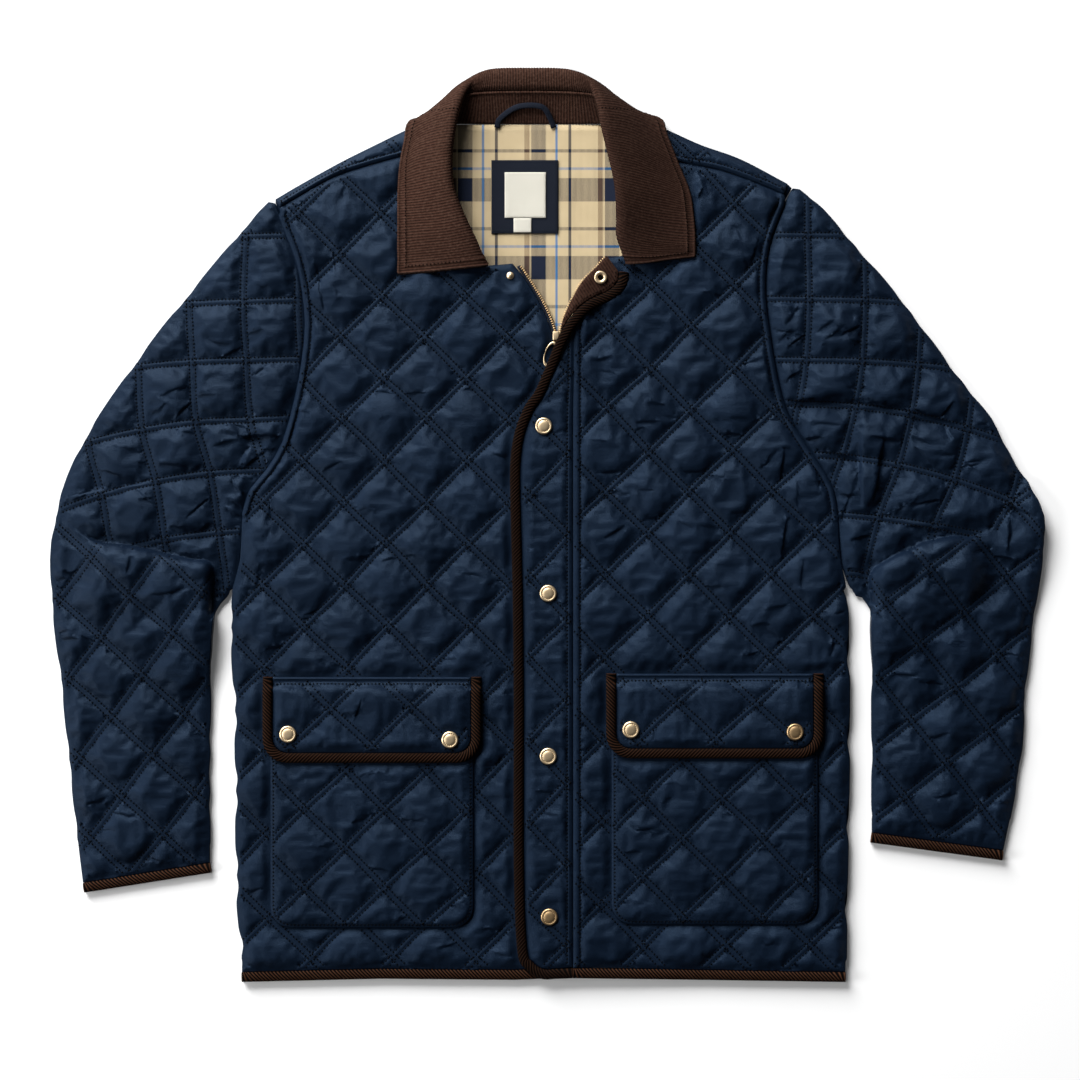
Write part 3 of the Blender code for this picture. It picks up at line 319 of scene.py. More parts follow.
class Solid:
    """A solid of the frame in millimetres: how high it lies, and the rim of its outline."""

    def __init__(self, node):
        bm = in_millimetres(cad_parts[node].data)
        bmesh.ops.remove_doubles(bm, verts=bm.verts, dist=0.02)
        self.tree = BVHTree.FromBMesh(bm)
        self.rim = even_outline(self.outline(bm))
        self.edge = Tracks([self.rim + self.rim[:1]])
        self.low = min(v.co.z for v in bm.verts)
        bm.free()

    @staticmethod
    def outline(bm):
        """The loop where the lower faces meet the upright walls, anticlockwise."""
        upright, facing_down = 0.12, -0.3
        beside = {}
        for edge in bm.edges:
            if len(edge.link_faces) != 2:
                continue
            tilts = sorted((face.normal.z for face in edge.link_faces), key=abs)
            if abs(tilts[0]) < upright and tilts[1] < facing_down:
                for a, b in (edge.verts, reversed(edge.verts)):
                    beside.setdefault(a, []).append(b)
        loops = []
        while beside:
            start = here = next(iter(beside))
            loop = []
            while here in beside:
                loop.append(here.co.to_2d())
                ways = beside.pop(here)
                here = next((w for w in ways if w in beside), start)
            loops.append(loop)
        loop = max(loops, key=lambda points: sum((a - b).length for a, b in
                                                 zip(points, points[1:])))
        ends = loop[1:] + loop[:1]
        area = sum(a.x * b.y - b.x * a.y for a, b in zip(loop, ends))
        return loop if area > 0 else loop[::-1]

    def under(self, x, y):
        """How high its underside lies at a place, or up to 1.5 mm beside it."""
        for dx, dy in ((0, 0), (0.5, 0.5), (-0.5, -0.5), (0.5, -0.5), (-0.5, 0.5), (1.5, 0),
                       (-1.5, 0), (0, 1.5), (0, -1.5)):
            hit = self.tree.ray_cast((x + dx, y + dy, -50.0), (0, 0, 1))[0]
            if hit:
                return hit.z
        return self.low

    def covers(self, x, y):
        return from_above(self.tree, x, y) is not None


def even_outline(loop):
    """A closed outline with evenly spaced points and its corners kept."""
    least_step, corner = 1.2, 34
    kept = [loop[0]]
    for spot in loop[1:]:
        if min((spot - kept[-1]).length, (spot - loop[0]).length) > least_step:
            kept.append(spot)
    count = len(kept)

    def turn(k):
        before = (kept[k] - kept[k - 1]).normalized()
        after = (kept[(k + 1) % count] - kept[k]).normalized()
        return abs(math.degrees(before.angle(after)))

    corners = [k for k in range(count) if turn(k) > corner] or [0]
    rim = []
    for first, last in zip(corners, corners[1:] + [corners[0] + count]):
        part = [kept[k % count] for k in range(first, last + 1)]
        rim += evenly(part, SPACING)[:-1]
    return rim


def lattice_families(name, rim, wobble=2.2):
    """The two families of quilting channels over an outline, not quite straight."""
    origin, a, b = (Vector(part) for part in LATTICES[name])
    area = a.x * b.y - a.y * b.x
    places = [((p.x - origin.x) * b.y - (p.y - origin.y) * b.x,
               a.x * (p.y - origin.y) - a.y * (p.x - origin.x)) for p in rim]
    spans = [(math.floor(min(v) / area), math.ceil(max(v) / area)) if area > 0 else
             (math.floor(max(v) / area), math.ceil(min(v) / area)) for v in zip(*places)]
    families = []
    for (low, high), (start, end), step, way in ((spans[1], spans[0], b, a),
                                                 (spans[0], spans[1], a, b)):
        side = Vector((-way.y, way.x)).normalized()
        family = []
        for whole in range(low, high + 1):
            foot = origin + step * whole
            run = evenly([foot + way * start, foot + way * end], SPACING)
            family.append([p + side * wobble * noise.noise(Vector((p.x / 70, p.y / 70, whole * 3)))
                           for p in run])
        families.append(family)
    return families


def sleeve_families(rows, start, step):
    """The curved channels of an upper sleeve: its rows, and the columns that cross them."""
    inwards = 1 if step < 0 else -1
    crossings = [[Vector((start + step * i + lean * inwards, high - fall * i * abs(i)))
                  for i in range(-1, 6)] for high, fall, lean in rows]
    return [[evenly(through(line), SPACING) for line in lines]
            for lines in (crossings, zip(*crossings))]


# ---- making pieces --------------------------------------------------------------------------
def finish_piece(name, mesh, material, nodes=()):
    """A piece of the jacket from its mesh, in metres."""
    mesh.shade_smooth()
    mesh.materials.append(material)
    piece = bpy.data.objects.new(name, mesh)
    bpy.context.scene.collection.objects.link(piece)
    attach(piece, "root")
    if nodes:
        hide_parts(*nodes)
    return piece


def inside_test(rim):
    """A test for places inside a closed outline."""
    spots, _, faces, _, _, _ = delaunay_2d_cdt([p.to_2d() for p in rim], [],
                                               [list(range(len(rim)))], 1, 0.001)
    tree = BVHTree.FromPolygons([(*p, 0.0) for p in spots], faces)
    return lambda p: tree.ray_cast((p[0], p[1], 5.0), (0, 0, -1))[0] is not None


def declare_cut(rim):
    """Puts the outline's points in an array and does nothing more with them."""
    spots = np.array([p[:2] for p in rim])


def mesh_of(name, bm):
    """A finished mesh, in metres, from a bmesh in millimetres."""
    bmesh.ops.scale(bm, vec=(MM, MM, MM), verts=bm.verts)
    mesh = bpy.data.meshes.new(name)
    bm.to_mesh(mesh)
    bm.free()
    return mesh


def grid_rows(bm, wide, long):
    """Make a bmesh a grid with a rib layer, and list its points by rows, each from left to right."""
    bmesh.ops.create_grid(bm, x_segments=wide - 1, y_segments=long - 1, size=1.0)
    layer = bm.verts.layers.float.new("rib")
    order = sorted(bm.verts, key=lambda v: (round(v.co.y, 6), round(v.co.x, 6)))
    return order, layer


def cut_cloth(rim, runs, dots):
    """A flat cloth in a bmesh, cut to its rim, with its faces along the runs and dots."""
    points = [p.to_2d() for p in rim]
    edges = []
    for run in runs:
        first = len(points)
        points += [p.to_2d() for p in run]
        edges += [(i, i + 1) for i in range(first, len(points) - 1)]
    points += dots
    outline = [list(range(len(rim)))]
    spots, _, faces, _, _, origins = delaunay_2d_cdt(points, edges, outline, 0, 0.02)
    bm = bmesh.new()
    made = {}
    for face, origin in zip(faces, origins):
        if origin:
            for i in face:
                if i not in made:
                    made[i] = bm.verts.new((*spots[i], 0.0))
            bm.faces.new([made[i] for i in face])
    return bm


def hex_dots(rim, spacing, keep):
    """Places that pass the test, strewn evenly over an outline's box in staggered rows."""
    low = Vector((min(p.x for p in rim), min(p.y for p in rim)))
    high = Vector((max(p.x for p in rim), max(p.y for p in rim)))
    dots = []
    row_height = spacing * 0.866
    for row in range(int((high.y - low.y) / row_height) + 1):
        for column in range(int((high.x - low.x) / spacing) + 1):
            spot = low + Vector(((column + 0.5 * (row % 2)) * spacing, row * row_height))
            if keep(spot):
                dots.append(spot)
    return dots


def close_sheet(bm, level):
    """Walls from the sheet's rim to the level, and a flat face that closes them."""
    rim = [edge for edge in bm.edges if edge.is_boundary]
    grown = bmesh.ops.extrude_edge_only(bm, edges=rim)["geom"]
    for vert in (part for part in grown if isinstance(part, bmesh.types.BMVert)):
        vert.co.z = level(vert.co.x, vert.co.y)
    edges = [part for part in grown if isinstance(part, bmesh.types.BMEdge)]
    bmesh.ops.holes_fill(bm, edges=[edge for edge in edges if edge.is_boundary], sides=0)
    bmesh.ops.recalc_face_normals(bm, faces=bm.faces)


def settle(piece, sewn, swell, frames=12):
    """The cloth is a little larger than what it is sewn to, so the wadding puffs and puckers it.
    The simulation is applied to the mesh and taken off again."""
    group = piece.vertex_groups.new(name="sewn")
    group.add(sewn, 1.0, "REPLACE")
    cloth = piece.modifiers.new("settle", "CLOTH")
    rules = cloth.settings
    rules.quality = 3
    rules.mass = 0.1
    rules.tension_stiffness = rules.compression_stiffness = 40
    rules.shear_stiffness = 5
    rules.bending_stiffness = 12
    rules.tension_damping = rules.compression_damping = rules.shear_damping = 5
    rules.air_damping = 1
    rules.vertex_group_mass = "sewn"
    rules.shrink_min = -swell
    rules.use_pressure = True
    rules.uniform_pressure_force = 4
    rules.effector_weights.gravity = 0
    cloth.collision_settings.use_collision = False
    cloth.point_cache.frame_start, cloth.point_cache.frame_end = 1, frames + 1
    for step in range(1, frames + 1):
        bpy.context.scene.frame_set(step)
    settled = bpy.data.meshes.new_from_object(piece.evaluated_get(
        bpy.context.evaluated_depsgraph_get()))
    moved = np.empty(len(settled.vertices) * 3, np.float32)
    before = np.empty_like(moved)
    settled.vertices.foreach_get("co", moved)
    piece.data.vertices.foreach_get("co", before)
    move = (moved - before).reshape(-1, 3)
    size = np.linalg.norm(move, axis=1, keepdims=True)
    move *= np.minimum(1.0, MOST_MOVED * MM / np.maximum(size, 1e-9))
    piece.data.vertices.foreach_set("co", (before.reshape(-1, 3) + move).ravel())
    piece.data.update()
    piece.modifiers.clear()
    piece.vertex_groups.clear()
    bpy.data.meshes.remove(settled)
    bpy.context.scene.frame_set(1)


def closed_below(piece, floor):
    """Give a settled sheet its walls and its underside."""
    bm = in_millimetres(piece.data)
    close_sheet(bm, floor)
    sheet = piece.data
    piece.data = mesh_of(piece.name, bm)
    piece.data.shade_smooth()
    piece.data.materials.append(sheet.materials[0])
    bpy.data.meshes.remove(sheet)


def scalloped(rim, families, where, over, depth):
    """The outline drawn in where the quilting's channels reach it and full between them. Over
    tells where a panel reaches over a seam, from 0 for not at all to 1 for the full overlap."""
    tracks = [Tracks(family) for family in families]
    drawn = []
    for spot, inner in zip(rim, shifted(rim, 1.0, closed=True)):
        near = min(track.away(spot.x, spot.y) for track in tracks)
        pull = depth * (math.exp(-((near / 7.0) ** 2)) - 0.5) if where(spot) else 0.0
        if over and over(spot):
            pull = -OVERLAP * over(spot)
        drawn.append(spot.lerp(inner, pull))
    return drawn


# ---- stitches -------------------------------------------------------------------------------
def stitch_mesh(name, runs, tree, material, pitch=STITCH, width=2.0, slant=20):
    """Stitches along runs of places, laid on the surface of a tree in millimetres. Each is a
    short bead of this width, turned a little off its line by the slant in degrees."""
    bm = bmesh.new()
    bmesh.ops.create_uvsphere(bm, u_segments=4, v_segments=2, radius=0.5)
    bmesh.ops.rotate(bm, matrix=Matrix.Rotation(math.pi / 2, 3, "Y"), verts=bm.verts)
    shape = np.array([v.co[:] for v in bm.verts]) * (pitch * 0.56, width, width * 0.7)
    faces = np.array([[v.index for v in f.verts] for f in bm.faces])
    bm.free()
    spots, frames = [], []
    for run in runs:
        line = evenly(run, pitch) if len(run) > 1 else run
        found = []
        for spot in line:
            z = from_above(tree, spot.x, spot.y)
            found.append(None if z is None else Vector((spot.x, spot.y, z)))
        for a, b in zip(found, found[1:]):
            if a is None or b is None or abs(a.z - b.z) > pitch:
                continue
            along = (b - a).normalized()
            along.rotate(Quaternion((0, 0, 1), math.radians(slant)))
            side = Vector((0, 0, 1)).cross(along).normalized()
            middle = (a + b) / 2
            z = from_above(tree, middle.x, middle.y)
            middle.z = middle.z if z is None else z
            spots.append(middle + Vector((0, 0, width * 0.25)))
            frames.append((along, side, along.cross(side)))
    if not spots:
        return None
    turned = np.einsum("vk,nkc->nvc", shape, np.array(frames)) + np.array(spots)[:, None, :]
    verts = turned.reshape(-1, 3) * MM
    tris = (faces[None] + (np.arange(len(spots)) * len(shape))[:, None, None]).reshape(-1, 3)
    mesh = bpy.data.meshes.new(name)
    mesh.from_pydata(verts.tolist(), [], tris.tolist())
    return finish_piece(name, mesh, material)


def surface_of(piece):
    """The piece's surface in millimetres, to lay stitches on."""
    bm = in_millimetres(piece.data)
    tree = BVHTree.FromBMesh(bm)
    bm.free()
    return tree


# ---- quilting -------------------------------------------------------------------------------
def fill(past):
    """How far the wadding has risen at a distance past a stitch line."""
    return 1 - math.exp(-((max(past, 0.0) / 7.0) ** 1.15))


def channel(run, twin):
    """The runs of points that a quilting channel is made of."""
    offsets = (0.5 * twin, -0.5 * twin, twin, -twin, twin + 1.9, -twin - 1.9)
    return [run, *(shifted(run, off) for off in offsets)]


def wrinkle(x, y, upright):
    """Small folds in the cloth that lie across, or stand upright where it is pulled up."""
    across = noise.noise(Vector((x / 24, y / 5.0, 1.7)))
    along = noise.noise(Vector((x / 5.0, y / 24, 6.2)))
    return across * (1 - upright) + along * upright


class Folds:
    """Folds in the cloth, looked up by where they lie."""
    REACH = 20.0

    def __init__(self, rows):
        self.rows = rows
        self.cells = {}
        for row in rows:
            x0, y0, x1, y1, width, _ = row
            low = [math.floor((min(pair) - 3 * width) / self.REACH) for pair in ((x0, x1), (y0, y1))]
            high = [math.floor((max(pair) + 3 * width) / self.REACH) for pair in ((x0, x1), (y0, y1))]
            for i in range(low[0], high[0] + 1):
                for j in range(low[1], high[1] + 1):
                    self.cells.setdefault((i, j), []).append(row)

    def rise(self, x, y):
        """A step, high on its left and sharp in its middle, with a groove along it."""
        total = 0.0
        for x0, y0, x1, y1, width, height in self.cells.get(
                (math.floor(x / self.REACH), math.floor(y / self.REACH)), ()):
            dx, dy = x1 - x0, y1 - y0
            size = math.hypot(dx, dy)
            t = ((x - x0) * dx + (y - y0) * dy) / (size * size)
            ends = ramp(t, -0.08, 0.4) * ramp(1 - t, -0.08, 0.4)
            if ends:
                off = ((y - y0) * dx - (x - x0) * dy) / size
                step = math.tanh(off / (0.24 * width)) * math.exp(-abs(off) / width)
                total += ends * height * (0.95 * step - 0.3 * math.exp(-((off / 1.4) ** 2)))
        return total

    def runs(self):
        """Runs of points along each fold, so that the cloth can bend there."""
        lines = []
        for x0, y0, x1, y1, *_ in self.rows:
            line = evenly([Vector((x0, y0)), Vector((x1, y1))], 2.4)
            lines += [shifted(line, off) for off in (0.0, 0.9, -0.9, 2.2, -2.2)]
        return lines


def strewn(rim, upright, seed):
    """Small folds strewn over a panel: level ones, and upright ones where it is pulled up."""
    draw = random.Random(seed)
    xs, ys = [p.x for p in rim], [p.y for p in rim]
    rows = []
    for _ in range(round((max(xs) - min(xs)) * (max(ys) - min(ys)) / FOLD_AREA)):
        x, y = draw.uniform(min(xs), max(xs)), draw.uniform(min(ys), max(ys))
        turn = draw.gauss(0.0, 0.25) + (math.pi / 2 if draw.random() < upright(x, y) else 0.0)
        way = Vector((math.cos(turn), math.sin(turn))) * draw.uniform(5.0, 14.0)
        rows.append((x - way.x, y - way.y, x + way.x, y + way.y, draw.uniform(4.0, 8.0),
                     draw.uniform(0.4, 1.1)))
    return Folds(rows)


def quilted(name, node, families, zones=(), puff=PUFF, lips=(), extra=None,
            extra_runs=(), region=None, swell=0.022, rim=None, floor=None, caps=(),
            pressed=None, edge_rise=11.0, flat=None, seams=(), upright=lambda x, y: 0.0,
            bumpy=None, over=None, wrinkles=0.35, scallop=2.4):
    """A quilted panel on its solid's form. Zones are solids that press it flat, and so do caps. A
    lip is a stretch of its rim that is turned in and stitched down: a test for its points, its
    width and rise. Upright tells where the cloth's small folds stand upright, bumpy where its rim
    is scalloped, over where it reaches over a seam, and region where it has quilting at all."""
    solid = Solid(node) if rim is None else None
    rim = rim or solid.rim
    folds = Folds(FOLDS.get(node, []))
    small = strewn(rim, upright, name)
    rim = scalloped(rim, families, bumpy, over, scallop) if bumpy else rim
    floor = floor or solid.under
    edge = Tracks([rim + rim[:1]])
    tracks = [Tracks(family) for family in families]
    zone_solids = [Solid(zone) for zone in zones]
    lip_parts = [(part, width, rise) for test, width, rise in lips
                 for part in stretches(rim + rim[:1], test)]
    lip_tracks = [(Tracks([part]), width, rise) for part, width, rise in lip_parts]
    within = inside_test(rim)

    def covered(p, margin=4.0):
        return any(z.covers(p.x, p.y) and z.edge.away(p.x, p.y) > margin for z in zone_solids)

    def shown(p):
        return within(p) and not covered(p) and (region is None or region(p))

    def stitched(p):
        return shown(p) and edge.away(p.x, p.y) > 2.5 and not covered(p, -1.0)

    def past_stitches(x, y):
        """How far past the nearest stitch line, which family it is, and the other's distance."""
        past = [track.away(x, y) - twin for track, twin in zip(tracks, TWINS)]
        return (past[0], 0, past[1]) if past[0] <= past[1] else (past[1], 1, past[0])

    def free(p):
        """Where the cloth's points are evenly strewn, clear of its rim and its channels."""
        if not within(p) or edge.away(p.x, p.y) < 7.6 or covered(p):
            return False
        return past_stitches(p.x, p.y)[0] > 3.6 or not shown(p)

    def looseness(x, y):
        """1 where the wadding may rise, down to 0 where something presses it flat."""
        loose = pressed(x, y) if pressed else 1.0
        for zone in zone_solids:
            loose *= 0.0 if zone.covers(x, y) else ramp(zone.edge.away(x, y), 0.5, 9.0)
        for cap_x, cap_y in caps:
            loose *= ramp(math.hypot(x - cap_x, y - cap_y), 8.0, 15.0)
        return loose

    def wadding(x, y, away, near, which, other):
        """The rise of the squares and of the channels between their stitch lines."""
        slow = noise.noise(Vector((x / 45, y / 45, 4.1)))
        rise = puff * (0.92 + 0.35 * slow) * fill(near) * fill(other) * ramp(away, 1.5, edge_rise)
        crest = max(0.0, 1 - ((near + TWINS[which]) / TWINS[which]) ** 2)
        pucker = noise.noise(Vector((x / 2.6, y / 2.6, 3.0)))
        rise += (CREST[which] + PUCKER[which] * pucker) * crest * ramp(away, 0.0, 4.0)
        rise -= SINK[which] * math.exp(-((near / 0.9) ** 2)) * ramp(away, 1.0, 5.0)
        return rise + wrinkles * wrinkle(x, y, upright(x, y)) * fill(near) * ramp(away, 1.0, 5.0)

    def lip_change(x, y, rise):
        """What a turned-in and stitched edge adds to the height, or takes from it."""
        change = 0.0
        for track, width, lift in lip_tracks:
            off = track.away(x, y)
            if off < width + 3.0:
                change -= rise * (1 - ramp(off, width, width + 3.0))
                change += lift * ramp(off, -0.6, 1.6) * (1 - ramp(off, width - 1.4, width))
                change -= 0.45 * math.exp(-((off - width) / 0.8) ** 2)
        return change

    def sewn_down(p):
        """Where lips, seams and unquilted strips keep the cloth from settling."""
        return (any(track.away(p.x, p.y) < width + 0.8 for track, width, _ in lip_tracks)
                or any(seam.away(p.x, p.y) < 2.5 for seam in seams)
                or (region is not None and not region(p)))

    runs = []
    for family, twin in zip(families, TWINS):
        for run in family:
            for part in stretches(run, shown):
                runs += channel(part, twin)
    for part, width, _ in lip_parts:
        runs += [shifted(part, width + step) for step in (-1.3, 0.0, 1.3)]
    inner = [shifted(rim, off, closed=True) for off in (1.1, 3.0, 5.8)]
    runs += [loop + loop[:1] for loop in inner] + list(extra_runs)
    for run in folds.runs() + small.runs():
        runs += stretches(run, lambda p: within(p) and edge.away(p.x, p.y) > 1.5)
    dots = hex_dots(rim, CELL, free)
    dots += hex_dots(rim, 14.0, lambda p: within(p) and covered(p, 8.0))
    bm = cut_cloth(rim, runs, dots)
    sewn = []
    for index, vert in enumerate(bm.verts):
        x, y = vert.co.x, vert.co.y
        away, loose = edge.away(x, y), looseness(x, y)
        near, which, other = past_stitches(x, y)
        rise = loose * wadding(x, y, away, near, which, other)
        z = EDGE + (SHELL - EDGE) * ramp(away, 0.0, 3.5) + rise + lip_change(x, y, rise)
        z += small.rise(x, y) * loose * ramp(away, 2.0, 8.0) * ramp(near, -0.5, 3.0)
        z += folds.rise(x, y) * loose * ramp(away, 0.0, 5.0)
        if flat:
            z = flat(x, y, z)
        if extra:
            z += extra(x, y)
        vert.co.z = floor(x, y) + max(z, 0.5)
        if near < 0.4 or away < 5.0 or loose < 0.15 or sewn_down(vert.co):
            sewn.append(index)
    piece = finish_piece(name, mesh_of(name, bm), MATERIALS["shell"], [node])
    settle(piece, sewn, swell)
    surface = surface_of(piece)
    closed_below(piece, floor)
    threads = []
    for family, twin in zip(families, TWINS):
        for run in family:
            for part in stretches(run, stitched):
                threads += [shifted(part, twin), shifted(part, -twin)]
    threads += [shifted(part, width) for part, width, _ in lip_parts]
    stitch_mesh(name + "_stitches", threads, surface, MATERIALS["thread"])
    declare_cut(rim)
    return piece


def quilted_under(name, node, families, top, bumpy, depth=1.3, scallop=2.4):
    """The side that lies on the table: pressed flat, with its channels drawn in."""
    rim = scalloped(Solid(node).rim, families, bumpy, None, scallop)
    edge = Tracks([rim + rim[:1]])
    tracks = [Tracks(family) for family in families]
    within = inside_test(rim)
    small = strewn(rim, lambda x, y: 0.4, name)
    runs = []
    for family in families:
        for run in family:
            for part in stretches(run, within):
                runs += [part, *(shifted(part, off) for off in (3.2, -3.2, 6.5, -6.5))]
    for run in small.runs():
        runs += stretches(run, lambda p: within(p) and edge.away(p.x, p.y) > 1.5)
    runs += [loop + loop[:1] for loop in (shifted(rim, 1.5, True), shifted(rim, 4.0, True))]
    dots = hex_dots(rim, 7.0, lambda p: within(p) and edge.away(p.x, p.y) > 6
                    and min(t.away(p.x, p.y) for t in tracks) > 9)
    bm = cut_cloth(rim, runs, dots)
    for vert in bm.verts:
        x, y = vert.co.x, vert.co.y
        near = min(t.away(x, y) for t in tracks)
        drawn = math.exp(-((max(near - 2.0, 0.0) / 3.6) ** 2)) - 0.4 * max(0.0, 1 - near / 2.5)
        rounded = (1 - ramp(edge.away(x, y), 0.0, 5.0)) * 1.2
        crease = 0.9 * small.rise(x, y)
        vert.co.z = min(top - 0.4, max(0.0, depth * drawn, rounded, crease))
    close_sheet(bm, lambda x, y: top)
    piece = finish_piece(name, mesh_of(name, bm), MATERIALS["shell"], [node])
    declare_cut(rim)


# ---- materials ------------------------------------------------------------------------------
class Nodes:
    """Short ways to add and join a material's nodes."""

    def __init__(self, name):
        self.material = bpy.data.materials.new(name)
        self.material.use_nodes = True
        self.tree = self.material.node_tree
        self.shader = self.tree.nodes["Principled BSDF"]
        self.place = self.add("ShaderNodeTexCoord").outputs["Object"]

    def add(self, kind, **values):
        node = self.tree.nodes.new(kind)
        for key, value in values.items():
            setattr(node, key, value)
        return node

    def join(self, source, target):
        self.tree.links.new(source, target)

    def axes(self):
        """Object coordinates apart, as X, Y and Z."""
        node = self.add("ShaderNodeSeparateXYZ")
        self.join(self.place, node.inputs[0])
        return node.outputs

    def mapped(self, how, value):
        """Object coordinates, scaled or turned."""
        node = self.add("ShaderNodeMapping")
        node.inputs[how].default_value = value
        self.join(self.place, node.inputs["Vector"])
        return node.outputs["Vector"]

    def noise(self, scale, detail=3.0, stretch=None, rough=0.5):
        node = self.add("ShaderNodeTexNoise")
        node.inputs["Scale"].default_value = scale
        node.inputs["Detail"].default_value = detail
        node.inputs["Roughness"].default_value = rough
        source = self.mapped("Scale", stretch) if stretch else self.place
        self.join(source, node.inputs["Vector"])
        return node.outputs["Fac"]

    def wave(self, scale, direction, distortion=0.0, turn=None):
        node = self.add("ShaderNodeTexWave", bands_direction=direction)
        node.inputs["Scale"].default_value = scale
        node.inputs["Distortion"].default_value = distortion
        source = self.mapped("Rotation", (0.0, 0.0, turn)) if turn else self.place
        self.join(source, node.inputs["Vector"])
        return node.outputs["Fac"]

    def math(self, how, a, b):
        """One step of arithmetic on a socket and a number."""
        node = self.add("ShaderNodeMath", operation=how)
        self.join(a, node.inputs[0])
        node.inputs[1].default_value = b
        return node.outputs[0]

    def ramp(self, fac, low, high, start=0.0, end=1.0):
        """From low to high while the factor goes from start to end."""
        node = self.add("ShaderNodeMapRange")
        node.inputs["From Min"].default_value = start
        node.inputs["From Max"].default_value = end
        node.inputs["To Min"].default_value = low
        node.inputs["To Max"].default_value = high
        self.join(fac, node.inputs["Value"])
        return node.outputs["Result"]

    def mix(self, fac, a, b):
        """Colour a where the factor is 0 and b where it is 1."""
        node = self.add("ShaderNodeMix", data_type="RGBA")
        for key, value in (("Factor", fac), ("A", a), ("B", b)):
            socket = next(s for s in node.inputs if s.name == key and s.enabled)
            if isinstance(value, tuple):
                socket.default_value = (*value, 1.0)
            else:
                self.join(value, socket)
        return next(s for s in node.outputs if s.enabled)

    def dye(self, colour):
        self.join(colour, self.shader.inputs["Base Color"])

    def roughen(self, source):
        self.join(source, self.shader.inputs["Roughness"])

    def bump(self, *layers):
        """Layers of (height, how far it stands out in metres)."""
        normal = None
        for height, distance in layers:
            node = self.add("ShaderNodeBump")
            node.inputs["Strength"].default_value = 1.0
            node.inputs["Distance"].default_value = distance
            self.join(height, node.inputs["Height"])
            if normal:
                self.join(normal, node.inputs["Normal"])
            normal = node.outputs["Normal"]
        self.join(normal, self.shader.inputs["Normal"])

    def set(self, **values):
        names = {"roughness": "Roughness", "metallic": "Metallic",
                 "specular": "Specular IOR Level", "specular_tint": "Specular Tint",
                 "glow": "Emission Color", "glow_strength": "Emission Strength"}
        for key, value in values.items():
            self.shader.inputs[names[key]].default_value = value


def shell_cloth():
    """Tight navy microfibre: a fine twill with a soft satin gloss."""
    n = Nodes("quilted_shell")
    patches = n.noise(14.0, 4.0)
    fuzz = n.noise(900.0, 2.0)
    navy, worn_navy = (0.0016, 0.0042, 0.0105), (0.0027, 0.0064, 0.0150)
    pale_navy = (0.0048, 0.0100, 0.0210)
    colour = n.mix(n.ramp(patches, 0.0, 1.0, 0.35, 0.65), navy, worn_navy)
    n.dye(n.mix(n.ramp(fuzz, 0.0, 0.3), colour, pale_navy))
    n.roughen(n.ramp(patches, 0.42, 0.55))
    creases = n.noise(70.0, 4.0, (0.5, 1.9, 1.0), 0.55)
    grain = n.noise(260.0, 3.0)
    twill = n.wave(900.0, "X", 0.0, 0.7)
    n.bump((creases, 0.00045), (grain, 0.00016), (twill, 0.00004))
    n.set(specular=0.13, specular_tint=(0.40, 0.64, 1.0, 1.0))
    return n.material


def plain_cloth():
    """Navy twill tape."""
    n = Nodes("navy_tape")
    weave = n.wave(380.0, "X", 0.4, 0.9)
    n.dye(n.mix(weave, (0.0022, 0.0037, 0.0084), (0.0054, 0.0086, 0.0175)))
    n.bump((weave, 0.00012))
    n.set(roughness=0.8, specular=0.12)
    return n.material


def corduroy_cloth():
    """Brown cotton velvet: a nap that is pale on its wales and darker between them, partly from the
    thinner pile there and partly painted shade in the grooves. Its right side has painted shade."""
    n = Nodes("corduroy")
    nap = n.noise(420.0, 4.0)
    wear = n.noise(22.0, 3.0)
    wale = n.add("ShaderNodeAttribute", attribute_name="rib").outputs["Fac"]
    brown, worn_brown = (0.026, 0.0108, 0.0068), (0.043, 0.0190, 0.0122)
    # The groove brown between the wales is partly the thinner pile and partly painted shade in the
    # grooves.
    groove = (0.0085, 0.0038, 0.0026)
    pale_fibre, painted_shade_brown = (0.080, 0.044, 0.031), (0.0070, 0.0026, 0.0016)
    crest = n.mix(n.ramp(wear, 0.0, 1.0, 0.3, 0.7), brown, worn_brown)
    colour = n.mix(n.ramp(wale, 0.0, 1.0, 0.1, 0.9), groove, crest)
    colour = n.mix(n.ramp(nap, 0.0, 0.4, 0.45, 0.75), colour, pale_fibre)
    # Painted shade: right of x 20 to 55 mm the colour goes to a darker brown, for the right leaf and
    # the facing turned from the light.
    painted_shade_right = n.ramp(n.axes()["X"], 0.0, 0.42, 0.020, 0.055)
    n.dye(n.mix(painted_shade_right, colour, painted_shade_brown))
    n.bump((nap, 0.00025))
    n.set(roughness=0.95, specular=0.08)
    return n.material


def binding_cloth(name, shade):
    """Dark brown ribbed binding, its ribs a lighter rust brown and near black between them, painted
    shade in the grooves. The shade factor darkens a copy all over, painted shade where it lies in
    shade."""
    n = Nodes(name)
    nap = n.noise(420.0, 3.0)
    rib = n.add("ShaderNodeAttribute", attribute_name="rib").outputs["Fac"]
    brown, rust = (0.022, 0.0086, 0.0044), (0.062, 0.0260, 0.0132)
    # The shade factor darkens the whole colour: painted shade, not a different cloth.
    crest = n.mix(nap, tuple(shade * c for c in brown), tuple(shade * c for c in rust))
    # Near black between the ribs: painted shade in the grooves.
    n.dye(n.mix(n.ramp(rib, 0.0, 1.0, 0.42, 0.95), (0.0006, 0.0003, 0.0002), crest))
    n.bump((nap, 0.00018))
    n.set(roughness=0.9, specular=0.04)
    return n.material


def thread_cloth(name, colour):
    """Sewing thread in shades of one colour."""
    n = Nodes(name)
    twist = n.noise(1500.0, 2.0)
    n.dye(n.mix(twist, colour, tuple(c * 1.5 for c in colour)))
    n.set(roughness=0.6, specular=0.05)
    return n.material


